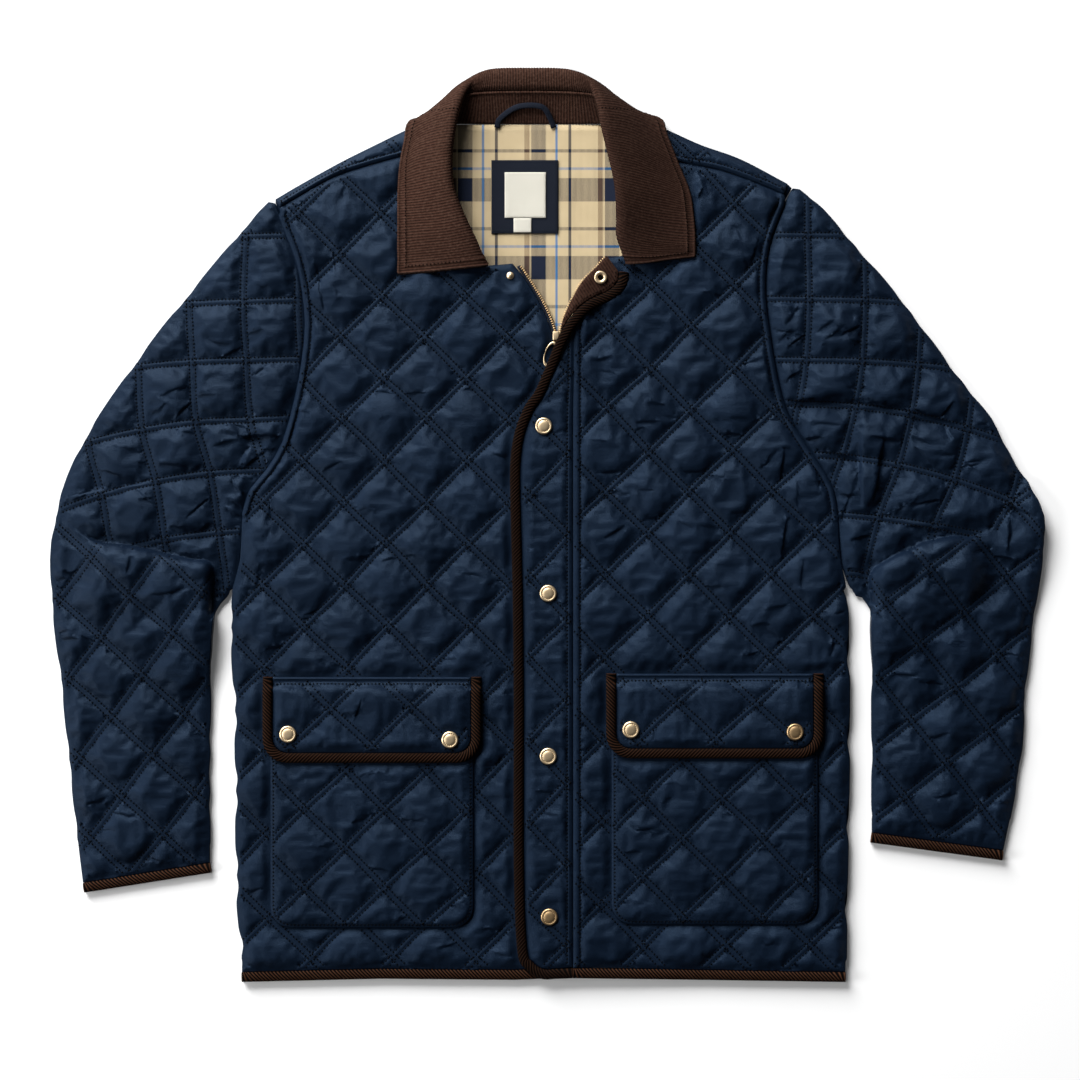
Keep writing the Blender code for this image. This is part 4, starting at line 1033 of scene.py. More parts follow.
def lining_cloth():
    """A woven tan check of navy and brown bands and thin blue lines. Upright and level threads
    show by turns, so a band is solid only where it crosses its like."""
    n = Nodes("check_lining")
    axes = n.axes()

    def band(axis, period, middle, width):
        """1 on bands of this width, a period apart, in metres."""
        near = n.math("PINGPONG", n.math("SUBTRACT", axes[axis], middle), period / 2)
        return n.ramp(near, 0.0, 1.0, width / 2 + 0.0003, width / 2 - 0.0003)

    ground = n.mix(n.noise(60.0, 3.0), (0.42, 0.33, 0.195), (0.49, 0.39, 0.24))
    navy, blue, brown = (0.006, 0.010, 0.024), (0.035, 0.130, 0.290), (0.110, 0.062, 0.030)
    # Each band: its middle from where its threads' pattern starts, its width and its dye.
    warp_period, warp_start = 0.066, -0.0075
    weft_period, weft_start = 0.070, 0.3025
    thin_warps = ((0.016, 0.0020, blue), (0.028, 0.0026, navy))
    warps = ((0.0, 0.013, navy), (-0.0105, 0.0045, brown), *thin_warps)
    wefts = ((0.0, 0.021, navy), (0.019, 0.0024, blue), (0.035, 0.0030, navy))
    warp = weft = ground
    for middle, width, dye in warps:
        warp = n.mix(band("X", warp_period, warp_start + middle, width), warp, dye)
    for middle, width, dye in wefts:
        weft = n.mix(band("Y", weft_period, weft_start + middle, width), weft, dye)
    twill = n.wave(300.0, "X", 1.2)
    cloth = n.mix(n.ramp(twill, 0.14, 0.86, 0.35, 0.65), warp, weft)
    for middle, width, dye in thin_warps:
        strength = n.math("MULTIPLY", band("X", warp_period, warp_start + middle, width), 0.6)
        cloth = n.mix(strength, cloth, dye)
    n.dye(cloth)
    n.bump((twill, 0.00010), (n.wave(900.0, "Y"), 0.00005))
    n.set(roughness=0.85, specular=0.15)
    return n.material


def label_cloth():
    """Off-white woven label, bare."""
    n = Nodes("label_white")
    weave = n.wave(700.0, "Y")
    n.dye(n.mix(weave, (0.54, 0.52, 0.45), (0.47, 0.45, 0.385)))
    n.bump((weave, 0.00008))
    n.set(roughness=0.7, specular=0.3)
    return n.material


def brass(name, colour, rough):
    """Brushed brass, a little duller in patches."""
    n = Nodes(name)
    wear = n.noise(260.0, 4.0)
    n.dye(n.mix(n.ramp(wear, 0.0, 1.0, 0.35, 0.7), colour, tuple(c * 0.6 for c in colour)))
    n.roughen(n.ramp(wear, rough, rough + 0.2))
    n.bump((n.noise(1500.0, 2.0), 0.00002))
    n.set(metallic=1.0)
    return n.material


def paper_floor():
    """White studio paper, with a faint glow of its own that keeps it white to the corners."""
    n = Nodes("pale_floor")
    n.dye(n.mix(n.noise(3.0), (0.73, 0.73, 0.73), (0.75, 0.75, 0.75)))
    n.set(roughness=0.9, specular=0.1, glow=(1.0, 1.0, 1.0, 1.0), glow_strength=0.06)
    return n.material


MATERIALS = {
    "shell": shell_cloth(),
    "tape": plain_cloth(),
    "corduroy": corduroy_cloth(),
    "binding": binding_cloth("ribbed_binding", 1.0),
    # Darker copies of the binding: painted shade on the flaps and the placket, which lie in shade.
    "flap_binding": binding_cloth("ribbed_flap_binding", 0.58),
    "placket_binding": binding_cloth("placket_binding_painted_shade", 0.36),
    # Near-black navy thread: painted shade for the stitch holes and the dips at each stitch.
    "thread": thread_cloth("navy_thread_painted_shade", (0.0005, 0.0009, 0.0018)),
    "brown_thread": thread_cloth("brown_thread", (0.0030, 0.0014, 0.0010)),
    "lining": lining_cloth(),
    "label": label_cloth(),
    "brass": brass("pale_brass", (0.88, 0.68, 0.43), 0.34),
    "old_brass": brass("dull_brass", (0.50, 0.34, 0.18), 0.36),
}


# ---- the panels -----------------------------------------------------------------------------
def make_fronts():
    def armhole_left(p):
        return p.x < -214 and 14 < p.y < 282

    def armhole_right(p):
        return p.x > 193 and 12 < p.y < 295

    def joined_left(p):
        """Where the front meets the sleeve, down to the armpit."""
        return p.x < -214 and -58 < p.y < 282

    def joined_right(p):
        return p.x > 193 and -56 < p.y < 295

    def beside_placket(p):
        return p.x < 24.5 and -393 < p.y < 185

    rim = Solid("front_left").rim
    quilted("front_left_shell", "front_left", lattice_families("front_left", rim),
            zones=("pocket_left", "flap_left_binding", "flap_left", "placket", "placket_binding"),
            lips=((armhole_left, 6.0, 1.0),), pressed=under_collar_left,
            bumpy=lambda p: p.x < -255 and -390 < p.y < -58, over=joined_left, upright=pulled_up,
            caps=[STUD])
    rim = Solid("front_right").rim
    quilted("front_right_shell", "front_right", lattice_families("front_right", rim),
            zones=("pocket_right", "flap_right_binding", "flap_right", "placket_facing"),
            lips=((armhole_right, 6.0, 1.0), (beside_placket, 6.5, 0.4)),
            pressed=under_collar_right, upright=pulled_up,
            bumpy=lambda p: p.x > 240 and -390 < p.y < -56, over=joined_right)


def pulled_up(x, y):
    """The fronts' small folds stand upright near the shoulders and at the sides."""
    return max(ramp(y, 190, 280), 0.7 * ramp(abs(x + 6), 215, 262))


def under_collar_left(x, y):
    """0 where the collar presses the left front flat."""
    return 1 - ramp(y, 226, 232) * ramp(x, -136, -131)


def under_collar_right(x, y):
    """0 where the collar presses the right front flat."""
    return 1 - ramp(y, 234, 242) * (1 - ramp(x, 131, 136))


def cap_places(start):
    """The middles of the snap caps whose nodes begin like this."""
    boxes = [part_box(node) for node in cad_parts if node.startswith(start)]
    return [((low.x + high.x) / 2 / MM, (low.y + high.y) / 2 / MM) for low, high in boxes]


def make_pockets():
    for side in ("left", "right"):
        node = "pocket_" + side
        quilted(node + "_shell", node, lattice_families(node, Solid(node).rim),
                zones=("flap_%s_binding" % side, "flap_" + side), puff=3.0,
                lips=((lambda p: True, 2.6, 0.15),))
        make_flap("flap_" + side)


def make_flap(node):
    """A pocket's flap, with a strip along its top that is turned in and stitched flat."""
    low, high = box_of(node)
    seam_y = high.y - STRIP
    seam = Tracks([[Vector((low.x, seam_y)), Vector((high.x, seam_y))]])
    level_runs = [evenly([Vector((low.x + 1, high.y - down)), Vector((high.x - 1, high.y - down))],
                         SPACING) for down in (1.5, 2.5, 3.5, 4.5, 5.5, 6.5, 7.5)]

    def sewn_strip(x, y, z):
        down = high.y - y
        share = ramp(y, seam_y - 0.5, seam_y + 1.5)
        lip = 1.9 + 0.9 * ramp(down, 0.0, 1.5) * (1 - ramp(down, 1.5, 3.5))
        return z * (1 - share) + lip * share

    piece = quilted(node + "_shell", node, lattice_families(node, Solid(node).rim), puff=2.8,
                    upright=lambda x, y: 0.9, caps=cap_places("snap_%s_" % node),
                    flat=sewn_strip, seams=(seam,), region=lambda p: p.y < seam_y + 1,
                    extra_runs=level_runs, edge_rise=8.0)
    run = [Vector((x, seam_y + 0.4)) for x in (low.x + 2, high.x - 2)]
    stitch_mesh(node + "_edge_stitches", [run], surface_of(piece), MATERIALS["thread"])


def make_placket():
    """The fly placket. Its upper end reaches over the seams beside it."""
    quilted("placket_shell", "placket", lattice_families("placket", Solid("placket").rim),
            puff=2.4, caps=cap_places("snap_placket"), edge_rise=9.0,
            bumpy=lambda p: False, over=lambda p: 0.9 * ramp(p.y, 90, 140),
            lips=((lambda p: p.x > 21.5 and -392 < p.y < 172, 5.0, 0.3),))


def make_sleeve(side, rows, start, step, elbow):
    """A sleeve with rows and columns above the elbow's fold and a diamond lattice below it."""
    node = "sleeve_%s_top" % side
    left = side == "left"
    fold = evenly(through(elbow), SPACING)
    line = BVHTree.FromPolygons([(*p, z) for p in fold for z in (-1, 1)],
                                [(2 * k, 2 * k + 2, 2 * k + 3, 2 * k + 1)
                                 for k in range(len(fold) - 1)])

    def below(x, y):
        """Distance below the elbow's fold; negative above it."""
        _, _, index, away = line.find_nearest((x, y, 0.0))
        a, b = fold[index], fold[index + 1]
        turn = (b - a).x * (y - a.y) - (b - a).y * (x - a.x)
        return away if (turn > 0) == left or y < -80 else -away

    upper = sleeve_families(rows, start, step)
    fore = lattice_families("fore_" + side, Solid(node).rim)
    families = [[part for run in high for part in stretches(run, lambda p: below(*p) < 0)]
                + [part for run in low for part in stretches(run, lambda p: below(*p) > 0)]
                for high, low in zip(upper, fore)]

    def pleat(x, y):
        """The forearm's cloth stands over the upper sleeve's at the fold and sinks back below."""
        away = below(x, y)
        depth = ramp(abs(x - elbow[-1][0]), 4.0, 45.0)
        if away < 0:
            return -3.2 * depth * math.exp(-((away / 9.0) ** 2))
        lobe = math.sqrt(1 - (1 - min(away / 11.0, 1.0)) ** 2)
        return ELBOW_STEP * depth * lobe * (1 - ramp(away, 20.0, 90.0))

    def joined(p):
        """Where the sleeve meets the body below the armhole."""
        return -56 < p.y < 60 and (p.x > -286 if left else p.x < 276)

    def loose_edge(p):
        """Where the outline isn't sewn to the body or to the cuff."""
        return not joined(p) and p.y > (-285 if left else -262) and (
            p.x < -240 if left else p.x > 236)

    quilted("sleeve_%s_shell" % side, node, families, extra=pleat, edge_rise=14.0,
            bumpy=loose_edge, over=joined, wrinkles=0.25, scallop=1.2,
            extra_runs=[shifted(fold, off) for off in (0.0, 1.2, -1.2, 2.6)],
            seams=(Tracks([fold]),), swell=0.03)
    quilted_under("sleeve_%s_underside" % side, "sleeve_%s_under" % side, families, 2.0,
                  loose_edge, depth=1.0, scallop=1.2)


def make_back():
    """The back's underside, and the strips of it that come forward over the shoulders."""
    quilted_under("back_underside", "back", lattice_families("front_left", Solid("back").rim), 2.5,
                  lambda p: -390 < p.y < 40)
    make_shoulder("left", SHOULDER_LEFT, FORWARD_SEAM_LEFT)
    make_shoulder("right", SHOULDER_RIGHT, FORWARD_SEAM_RIGHT)


def make_shoulder(side, ridge, seam):
    ridge, seam = evenly(through(ridge), SPACING), evenly(through(seam), SPACING)
    ends = [evenly([ridge[-1], seam[-1]], SPACING)[1:-1], evenly([seam[0], ridge[0]], SPACING)[1:-1]]
    rim = ridge + ends[0] + seam[::-1] + ends[1]
    if side == "right":
        rim = rim[::-1]
    crown = Tracks([ridge])
    seam_track = Tracks([seam])

    def floor(x, y):
        return 2.6 + 1.3 * ramp(crown.away(x, y), 3.0, 6.5)

    def rounded(x, y, z):
        return z - 1.4 * (1 - ramp(crown.away(x, y), 0.0, 5.0))

    quilted("shoulder_%s_shell" % side, "back", lattice_families("front_" + side, rim), rim=rim,
            floor=floor, flat=rounded, puff=2.6,
            lips=((lambda p: seam_track.away(p.x, p.y) < 0.5, 5.0, 0.9),))


def make_lining():
    """The back's lining: finely shaped where it shows in the neck, and plain elsewhere."""
    solid = Solid("lining_back")

    def inside(p):
        return solid.covers(p.x, p.y)

    def neck(p):
        return p.y > 150 and -115 < p.x < 100 and inside(p) and solid.edge.away(*p) > 3

    dots = hex_dots(solid.rim, 4.0, neck)
    dots += hex_dots(solid.rim, 40.0, lambda p: inside(p) and not neck(p))
    bm = cut_cloth(solid.rim, [], dots)
    folds = Folds(FOLDS["lining_back"])
    top = box_of("lining_back")[1].z
    for vert in bm.verts:
        x, y = vert.co.x, vert.co.y
        slow = noise.noise(Vector((x / 14, y / 14, 2.0)))
        vert.co.z = top - 0.15 + 0.6 * folds.rise(x, y) + 0.12 * slow
    close_sheet(bm, lambda x, y: top - 0.8)
    piece = finish_piece("check_lining", mesh_of("check_lining", bm), MATERIALS["lining"],
                         ["lining_back"])
    declare_cut(solid.rim)


# ---- bindings -------------------------------------------------------------------------------
def binding(name, node, path, floor, width=BINDING, rise=3.9, ribs=True, material="binding",
            slant=1.0):
    """A folded strip along a path, half round above, with ribs cut on the bias: they lean by the
    slant along most of it and stand square at its ends."""
    steps = 4 if ribs else 2
    line = evenly(path, RIB / steps)
    sides = shifted(line, 1.0)
    arc = 9
    half = width / 2
    step = (line[1] - line[0]).length
    bm = bmesh.new()
    order, layer = grid_rows(bm, arc + 1, len(line))
    for index, vert in enumerate(order):
        k, across = divmod(index, arc + 1)
        turn = math.pi * across / arc
        u = -math.cos(turn)
        lean = min(1.0, min(k, len(line) - 1 - k) * step / width)
        place = k - slant * lean * half * u / step if ribs else k
        j = min(max(int(place), 0), len(line) - 2)
        spot = line[j].lerp(line[j + 1], place - j)
        side = (sides[j].lerp(sides[j + 1], place - j) - spot).normalized()
        rib = 0.0
        if ribs:
            phase = math.cos(2 * math.pi * k / steps)
            uneven = noise.noise(Vector((spot.x / 5, spot.y / 5, u)))
            rib = 0.55 * phase * math.sin(turn) + 0.15 * uneven
            vert[layer] = 0.5 + 0.5 * phase
        x, y = spot + side * half * u
        up = abs(math.sin(turn)) ** 0.6
        vert.co = (x, y, floor(spot.x, spot.y) + 0.15 + (rise + rib) * up)
    close_sheet(bm, floor)
    return finish_piece(name, mesh_of(name, bm), MATERIALS[material], [node])


def rounded_box(x0, x1, y0, y1, radius):
    """A U-shaped run down the left side, round the lower corners and up the right side."""
    run = [Vector((x0, y1))]
    for cx, start in ((x0 + radius, 180), (x1 - radius, 270)):
        for angle in range(start, start + 91, 10):
            turn = math.radians(angle)
            run.append(Vector((cx + radius * math.cos(turn), y0 + radius + radius * math.sin(turn))))
    return run + [Vector((x1, y1))]


def make_bindings():
    half = BINDING / 2
    for side in ("left", "right"):
        node = "flap_%s_binding" % side
        low, high = box_of(node)
        path = rounded_box(low.x + half, high.x - half, low.y + half, high.y, 17.5)
        binding(node + "_cloth", node, path, Solid(node).under, slant=-1.0,
                material="flap_binding")
        node = "hem_binding_" + side
        low, high = box_of(node)
        xs = sorted({low.x, high.x, *(x for x, _ in HEM if low.x < x < high.x)})
        path = [Vector((x, hem_y(x) - 0.3 - half)) for x in xs]
        binding(node + "_cloth", node, path, Solid(node).under,
                rise=3.6 if side == "right" else 3.2)
        for layer, rise in (("top", 3.9), ("under", 1.9)):
            node = "cuff_binding_%s_%s" % (side, layer)
            solid = Solid(node)
            low, high = (f(p.x for p in solid.rim) for f in (min, max))
            path = [mean([p for p in solid.rim if p.x < low + 1.5]),
                    mean([p for p in solid.rim if p.x > high - 1.5])]
            binding(node + "_cloth", node, path, solid.under, rise=rise)
    path = [Vector((x, y - 0.3 - half)) for x, y in HEM]
    binding("hem_binding_back_cloth", "hem_binding_back", path, Solid("hem_binding_back").under,
            rise=2.2)
    binding("placket_binding_cloth", "placket_binding", through(PLACKET_EDGE),
            Solid("placket_binding").under, material="placket_binding")


def hem_y(x):
    """How high the hem's line runs at a place across the jacket."""
    for (x0, y0), (x1, y1) in zip(HEM, HEM[1:]):
        if x <= x1:
            return y0 + (y1 - y0) * (x - x0) / (x1 - x0)
    return HEM[-1][1]


# ---- corduroy -------------------------------------------------------------------------------
def across_at(surface, stitch_at):
    """The surface with its columns at set distances from its last edge, and those distances. The
    columns are close together at the edge and at a line of stitches."""
    steps = np.linalg.norm(np.diff(surface, axis=1), axis=2)
    whole = steps.sum(axis=1)
    places = np.concatenate((np.zeros((len(steps), 1)), np.cumsum(steps, axis=1)), axis=1)
    marks = [0.0, 0.8, 1.8, 3.4]
    if stitch_at:
        marks += [stitch_at + step for step in (-1.3, -0.6, 0.0, 0.6, 1.3)] + [stitch_at + 4.0]
    result, distances = [], []
    for row, place, size in zip(surface, places, whole):
        spots = np.concatenate((marks, np.linspace(marks[-1], size, 13)[1:]))
        distances.append(spots[::-1])
        result.append([np.interp(size - spots[::-1], place, row[:, axis]) for axis in range(3)])
    return np.array(result).transpose(0, 2, 1), np.array(distances)


def corduroy_band(name, node, sections, stitch_at=None, lean=None):
    """A band of corduroy laid through its sections, its wales running across it. Lean tells how
    far a wale runs along the band on its way across, and stitch_at how far a line of stitches
    lies from its edge and ends."""
    rows = [through(section, 5) for section in sections]
    columns = [through(column, 10) for column in zip(*rows)]
    form = np.array([[p[:] for p in column] for column in columns]).transpose(1, 0, 2)
    middle = form[:, form.shape[1] // 2]
    reach = np.concatenate(([0.0], np.cumsum(np.linalg.norm(np.diff(middle, axis=0), axis=1))))
    length = float(reach[-1])
    fine = 4
    count = int(length / WALE * fine)
    t = np.linspace(0.0, length, count)
    pull = np.minimum(np.minimum(t, length - t) / 25.0, 1.0)
    surface = np.empty((count, form.shape[1], 3))
    for j, share in enumerate(np.linspace(0.0, 1.0, form.shape[1])):
        place = t
        if lean:
            leaning = np.clip(t + lean(t / length) * (share - 0.5), 0.0, length)
            place = t * (1 - pull) + leaning * pull
        for axis in range(3):
            surface[:, j, axis] = np.interp(place, reach, form[:, j, axis])
    surface, from_edge = across_at(surface, stitch_at)
    du, dv = np.gradient(surface, axis=0), np.gradient(surface, axis=1)
    normal = np.cross(dv, du)
    normal /= np.maximum(np.linalg.norm(normal, axis=2, keepdims=True), 1e-9)
    wale = np.sin(math.pi * (np.arange(count) % fine) / fine)[:, None] ** 0.8
    height = 0.42 * wale * np.clip(from_edge / 1.2, 0, 1)
    near = from_edge
    if stitch_at:
        near = np.minimum(from_edge, np.minimum(t, length - t)[:, None])
        height = height - 0.7 * np.exp(-((near - stitch_at) / 0.8) ** 2)
    height = height - 0.8 * np.clip(1 - near / 1.6, 0, 1) ** 2
    surface = surface + normal * height[..., None]
    surface[..., 2] = np.maximum(surface[..., 2], 0.0)
    wide = surface.shape[1]
    bm = bmesh.new()
    order, layer = grid_rows(bm, wide, count)
    for index, vert in enumerate(order):
        vert.co = surface[index // wide, index % wide]
        vert[layer] = float(wale[index // wide, 0])
    bmesh.ops.recalc_face_normals(bm, faces=bm.faces)
    if node == "collar_fall" and crown_normal(bm).z < 0:
        bmesh.ops.reverse_faces(bm, faces=bm.faces)
    piece = finish_piece(name, mesh_of(name, bm), MATERIALS["corduroy"], [node])
    wall = piece.modifiers.new("wall", "SOLIDIFY")
    wall.thickness = (CORD - 0.3) * MM
    wall.offset = -1.0
    if stitch_at:
        seam = int(np.argmin(np.abs(from_edge[0] - stitch_at)))
        runs = [[Vector(surface[i, seam]) for i in range(0, count, 2) if surface[i, seam, 2] > 3]]
        for place in (stitch_at, length - stitch_at):
            i = int(np.argmin(np.abs(t - place)))
            runs.append([Vector(p) for p in surface[i, wide // 4:seam]])
        stitch_mesh(name + "_stitches", [[p.to_2d() for p in run] for run in runs],
                    surface_of(piece), MATERIALS["brown_thread"], width=1.1)


def crown_normal(bm):
    """Which way the collar's left leaf faces."""
    left_leaf = Vector((-100, 300))
    face = min(bm.faces, key=lambda f: sum(map(abs, f.calc_center_median().to_2d() - left_leaf)))
    return face.normal


def make_collar():
    """The fall, and the stand below it, which ends a cloth's thickness short of their seam."""
    foot, seam, *rest = ([Vector(p) for p in column] for column in zip(*COLLAR))
    fall = [list(section) for section in zip(seam, *rest)]

    def lean(share):
        """The right leaf's wales run down towards its edge."""
        return 26.0 * np.clip((share - 0.66) / 0.1, 0, 1) - 6.0 * np.clip((0.3 - share) / 0.1, 0, 1)

    corduroy_band("collar_fall_corduroy", "collar_fall", fall, stitch_at=6.3, lean=lean)
    stand = []
    for low, high in zip(foot, seam):
        along = (high - low).normalized()
        stand.append([low, (low + high) / 2, high - along * CORD])
    corduroy_band("collar_stand_corduroy", "collar_stand", stand)


def make_facing():
    """The corduroy facing turned out at the top of the placket, with its wales along it."""
    solid = Solid("placket_facing")
    way = Vector((-0.55, 0.84)).normalized()
    side = Vector((-way.y, way.x))
    middle = mean(solid.rim)
    runs = []
    most_lines = 140
    for k in range(-most_lines, most_lines + 1):
        foot = middle + side * k * WALE / 4
        run = evenly([foot - way * 60, foot + way * 60], 2.5)
        runs += stretches(run, lambda p: solid.covers(p.x, p.y))
    bm = cut_cloth(solid.rim, runs, [])
    layer = bm.verts.layers.float.new("rib")
    for vert in bm.verts:
        x, y = vert.co.x, vert.co.y
        place = (Vector((x, y)) - middle).dot(side) / WALE
        away = solid.edge.away(x, y)
        wale = abs(math.sin(math.pi * place))
        vert[layer] = wale
        vert.co.z = (solid.under(x, y) + 2.2 * (0.75 + 0.25 * ramp(away, 0, 1.5))
                     + 0.32 * wale ** 0.8 * ramp(away, 0.0, 1.2))
    close_sheet(bm, solid.under)
    piece = finish_piece("facing_corduroy", mesh_of("facing_corduroy", bm), MATERIALS["corduroy"],
                         ["placket_facing"])
    declare_cut(solid.rim)
    edge = [p for p in shifted(evenly(through(PLACKET_EDGE), 2.0), -BINDING / 2 - 3.2)
            if solid.covers(p.x, p.y)]
    stitch_mesh("facing_stitches", [edge], surface_of(piece), MATERIALS["brown_thread"], width=1.1)


# ---- trim -----------------------------------------------------------------------------------
def turned(profile, segments=48):
    """A bmesh of a profile of (radius, height), spun about the upright axis."""
    bm = bmesh.new()
    points = [bm.verts.new((radius, 0.0, height)) for radius, height in profile]
    edges = [bm.edges.new(pair) for pair in zip(points, points[1:])]
    bmesh.ops.spin(bm, geom=points + edges, cent=(0, 0, 0), axis=(0, 0, 1), angle=math.tau,
                   steps=segments, use_merge=True)
    bmesh.ops.remove_doubles(bm, verts=bm.verts, dist=0.001)
    bmesh.ops.recalc_face_normals(bm, faces=bm.faces)
    return bm


def seat(bm, node):
    """Put a turned piece upright where its solid stands."""
    low, high = box_of(node)
    bmesh.ops.translate(bm, verts=bm.verts, vec=((low.x + high.x) / 2, (low.y + high.y) / 2, low.z))


def make_snaps():
    """Caps with a ring of small dots, and the open top snap's ring and stud."""
    cap = [(0.0, 0.0), (6.9, 0.0), (7.4, 0.4), (CAP_RADIUS, 1.0), (7.3, 1.7), (6.6, 2.1),
           (6.1, 2.15), (5.8, 1.95), (5.3, 1.9), (4.9, 2.0), (4.4, 2.3), (2.4, 2.5), (0.0, 2.6)]
    socket = [(5.8, 0.0), (5.8, 0.8), (5.5, 1.3), (4.9, 1.55), (3.9, 1.5), (3.2, 1.2), (2.6, 0.6),
              (2.4, 0.0), (5.8, 0.0)]
    well = [(0.0, 0.0), (2.3, 0.0), (2.3, 0.25), (0.0, 0.3)]
    stud = [(0.0, 0.0), (3.2, 0.0), (3.3, 0.4), (2.9, 0.7), (1.9, 0.8), (1.6, 1.2), (1.7, 2.0),
            (1.3, 2.35), (0.0, 2.4)]
    dots, dot_ring, dot_height, dot_radius = 18, 5.35, 1.95, 0.32
    dull = {"snap_placket_4", "snap_flap_right_b"}
    for node in [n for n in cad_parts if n.startswith(("snap_placket", "snap_flap"))]:
        bm = turned(cap)
        for k in range(dots):
            turn = math.tau * k / dots
            place = (dot_ring * math.cos(turn), dot_ring * math.sin(turn), dot_height)
            dot = bmesh.ops.create_icosphere(bm, subdivisions=1, radius=dot_radius)["verts"]
            bmesh.ops.translate(bm, verts=dot, vec=place)
        seat(bm, node)
        metal = MATERIALS["old_brass" if node in dull else "brass"]
        finish_piece(node + "_cap", mesh_of(node, bm), metal, [node])

    def make_ring(node, profile):
        bm = turned(profile, 40)
        seat(bm, node)
        finish_piece(node + "_ring", mesh_of(node, bm), MATERIALS["brass"], [node])

    make_ring("snap_socket", socket)
    bm = turned(well, 24)
    seat(bm, "snap_socket")
    finish_piece("snap_socket_well", mesh_of("snap_socket_well", bm), MATERIALS["binding"])
    make_ring("snap_stud", stud)


def make_zip():
    """Two tapes with brass teeth that stand open above the slider, and the pull's wire ring."""
    for side, line, inward in (("left", ZIP_LEFT, -1), ("right", ZIP_RIGHT, 1)):
        node = "zip_tape_" + side
        path = shifted(evenly(through(line), 2.0), 1.9 * inward)
        path += [Vector((path[-1].x, y)) for y in range(160, -397, -6)]
        binding(node + "_twill", node, path, Solid(node).under, width=3.2, rise=1.0, ribs=False,
                material="tape")
        teeth = bmesh.new()
        row = evenly(shifted(through(line), 0.3 * inward), 2.1)
        for a, b in zip(row[1:-1], row[2:]):
            turn = math.atan2(b.y - a.y, b.x - a.x)
            made = bmesh.ops.create_cube(teeth, size=1.0)["verts"]
            bmesh.ops.scale(teeth, verts=made, vec=(1.05, 2.6, 1.6))
            bmesh.ops.rotate(teeth, verts=made, matrix=Matrix.Rotation(turn, 3, "Z"))
            bmesh.ops.translate(teeth, verts=made, vec=(a.x, a.y, 5.5))
        bmesh.ops.bevel(teeth, geom=teeth.edges[:], offset=0.25, segments=1, profile=0.5,
                        affect="EDGES", material=-1)
        name = "zip_teeth_" + side
        finish_piece(name, mesh_of(name, teeth), MATERIALS["old_brass"])
    make_slider()
    make_pull()


def make_slider():
    low, high = box_of("zip_slider")
    bm = bmesh.new()
    bmesh.ops.create_cube(bm, size=1.0)
    bmesh.ops.scale(bm, vec=high - low, verts=bm.verts)
    bmesh.ops.bevel(bm, geom=bm.edges[:], offset=1.0, segments=4, profile=0.5, affect="EDGES",
                    material=-1)
    bmesh.ops.translate(bm, vec=(low + high) / 2, verts=bm.verts)
    finish_piece("zip_slider_body", mesh_of("zip_slider_body", bm), MATERIALS["brass"],
                 ["zip_slider"])


def make_pull():
    """The pull's wire ring, drawn out to an oval and turned a little."""
    low, high = box_of("zip_pull")
    bm = bmesh.new()
    bmesh.ops.create_circle(bm, segments=12, radius=0.65)
    bmesh.ops.rotate(bm, matrix=Matrix.Rotation(math.pi / 2, 3, "X"), verts=bm.verts)
    bmesh.ops.translate(bm, vec=(5.0, 0.0, 0.0), verts=bm.verts)
    bmesh.ops.spin(bm, geom=bm.edges[:] + bm.verts[:], cent=(0, 0, 0), axis=(0, 0, 1),
                   angle=math.tau, steps=60, use_merge=True)
    bmesh.ops.remove_doubles(bm, verts=bm.verts, dist=0.0005)
    bmesh.ops.recalc_face_normals(bm, faces=bm.faces)
    bmesh.ops.scale(bm, vec=(1.0, 2.1, 1.0), verts=bm.verts)
    bmesh.ops.rotate(bm, matrix=Matrix.Rotation(math.radians(-18), 3, "Z"), verts=bm.verts)
    bmesh.ops.translate(bm, vec=(low + high) / 2, verts=bm.verts)
    finish_piece("zip_pull_ring", mesh_of("zip_pull_ring", bm), MATERIALS["brass"], ["zip_pull"])


def flat_patch(name, node, material, spacing, wave, hem=None):
    """A small piece of cloth laid on the lining, its edges a little round. The hem is how far its
    stitches lie from its edge, from one to the next, their width and their thread."""
    solid = Solid(node)
    top = box_of(node)[1].z
    inner = shifted(solid.rim, 0.8, closed=True)
    bm = cut_cloth(solid.rim, [inner + inner[:1]], hex_dots(
        solid.rim, spacing, lambda p: solid.covers(p.x, p.y) and solid.edge.away(*p) > 1.6))
    for vert in bm.verts:
        x, y = vert.co.x, vert.co.y
        slow = noise.noise(Vector((x / 13, y / 13, 3.3)))
        vert.co.z = top - 0.25 * (1 - ramp(solid.edge.away(x, y), 0, 0.8)) + wave * slow
    close_sheet(bm, solid.under)
    piece = finish_piece(name, mesh_of(name, bm), MATERIALS[material], [node])
    declare_cut(solid.rim)
    if hem:
        inset, pitch, width, thread = hem
        run = shifted(solid.rim, inset, closed=True)
        stitch_mesh(node + "_stitches", [run + run[:1]], surface_of(piece), MATERIALS[thread],
                    pitch=pitch, width=width)


def make_labels():
    flat_patch("label_patch_twill", "label_patch", "tape", 4.0, 0.2,
               hem=(2.0, 2.4, 0.4, "thread"))
    flat_patch("label_cloth", "label", "label", 3.0, 0.15,
               hem=(1.4, 2.0, 0.35, "label"))
    flat_patch("label_tab_cloth", "label_tab", "label", 3.0, 0.1)


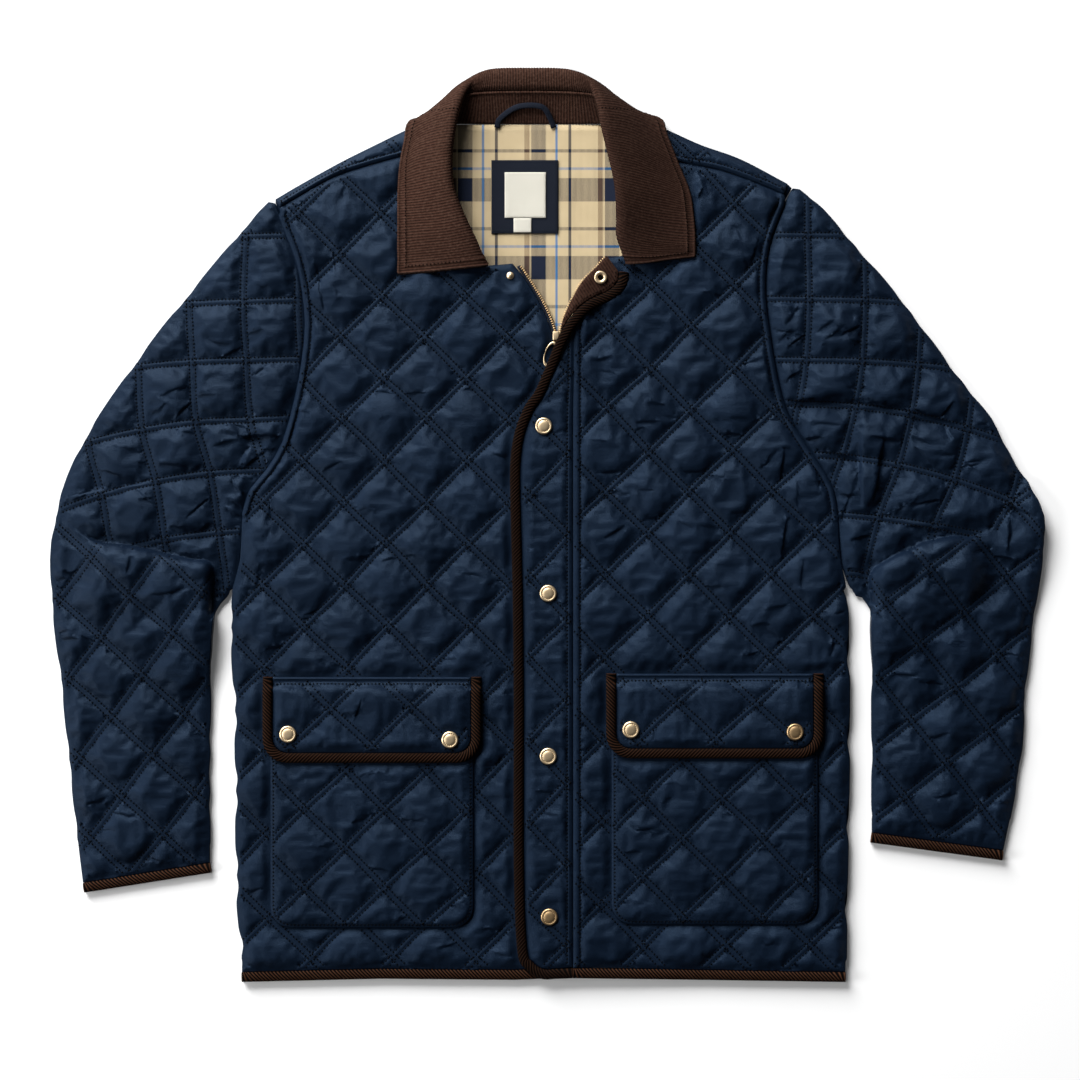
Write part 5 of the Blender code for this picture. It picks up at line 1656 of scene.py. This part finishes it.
def make_hanger_loop():
    binding("hanger_loop_tape", "hanger_loop", through(LOOP, 8), Solid("hanger_loop").under,
            width=5.0, rise=1.0, ribs=False, material="tape")


# ---- light, floor and camera ----------------------------------------------------------------
def make_stage():
    """A white floor, a broad key light from beyond the collar, a weak side light and the camera."""
    bm = bmesh.new()
    bmesh.ops.create_grid(bm, x_segments=1, y_segments=1, size=4.0)
    bmesh.ops.translate(bm, vec=(0, 0, -0.0006), verts=bm.verts)
    mesh = bpy.data.meshes.new("floor")
    bm.to_mesh(mesh)
    bm.free()
    mesh.materials.append(paper_floor())
    floor = bpy.data.objects.new("floor", mesh)
    link = bpy.context.scene.collection.objects.link
    link(floor)
    world = bpy.data.worlds.new("studio")
    world.use_nodes = True
    background = world.node_tree.nodes["Background"]
    background.inputs["Color"].default_value = (0.95, 0.97, 1.0, 1.0)
    background.inputs["Strength"].default_value = 0.07
    bpy.context.scene.world = world
    bpy.context.scene.view_settings.view_transform = "Standard"
    for name, place, size, power in (("key", (-2.9, 5.2, 3.0), 4.0, 1290.0),
                                     ("side", (-3.4, -0.4, 1.6), 1.6, 110.0)):
        light = bpy.data.lights.new(name, "AREA")
        light.size = size
        light.energy = power
        lamp = bpy.data.objects.new(name, light)
        lamp.location = place
        lamp.rotation_euler = (-Vector(place)).to_track_quat("-Z", "Y").to_euler()
        link(lamp)
    lens = bpy.data.cameras.new("camera")
    lens.lens = 85.0
    lens.sensor_width = 36.0
    lens.clip_end = 20.0
    camera = bpy.data.objects.new("camera", lens)
    frame_width, centre = 0.972, Vector((-0.0063, -0.0122))
    camera.location = (*centre, frame_width * lens.lens / lens.sensor_width)
    link(camera)
    bpy.context.scene.camera = camera


make_stage()
make_back()
make_lining()
make_fronts()
make_sleeve("left", SLEEVE_LEFT_ROWS, SLEEVE_LEFT_START, SLEEVE_LEFT_STEP, ELBOW_LEFT)
make_sleeve("right", SLEEVE_RIGHT_ROWS, SLEEVE_RIGHT_START, SLEEVE_RIGHT_STEP, ELBOW_RIGHT)
make_pockets()
make_placket()
make_bindings()
make_collar()
make_facing()
make_snaps()
make_zip()
make_labels()
make_hanger_loop()
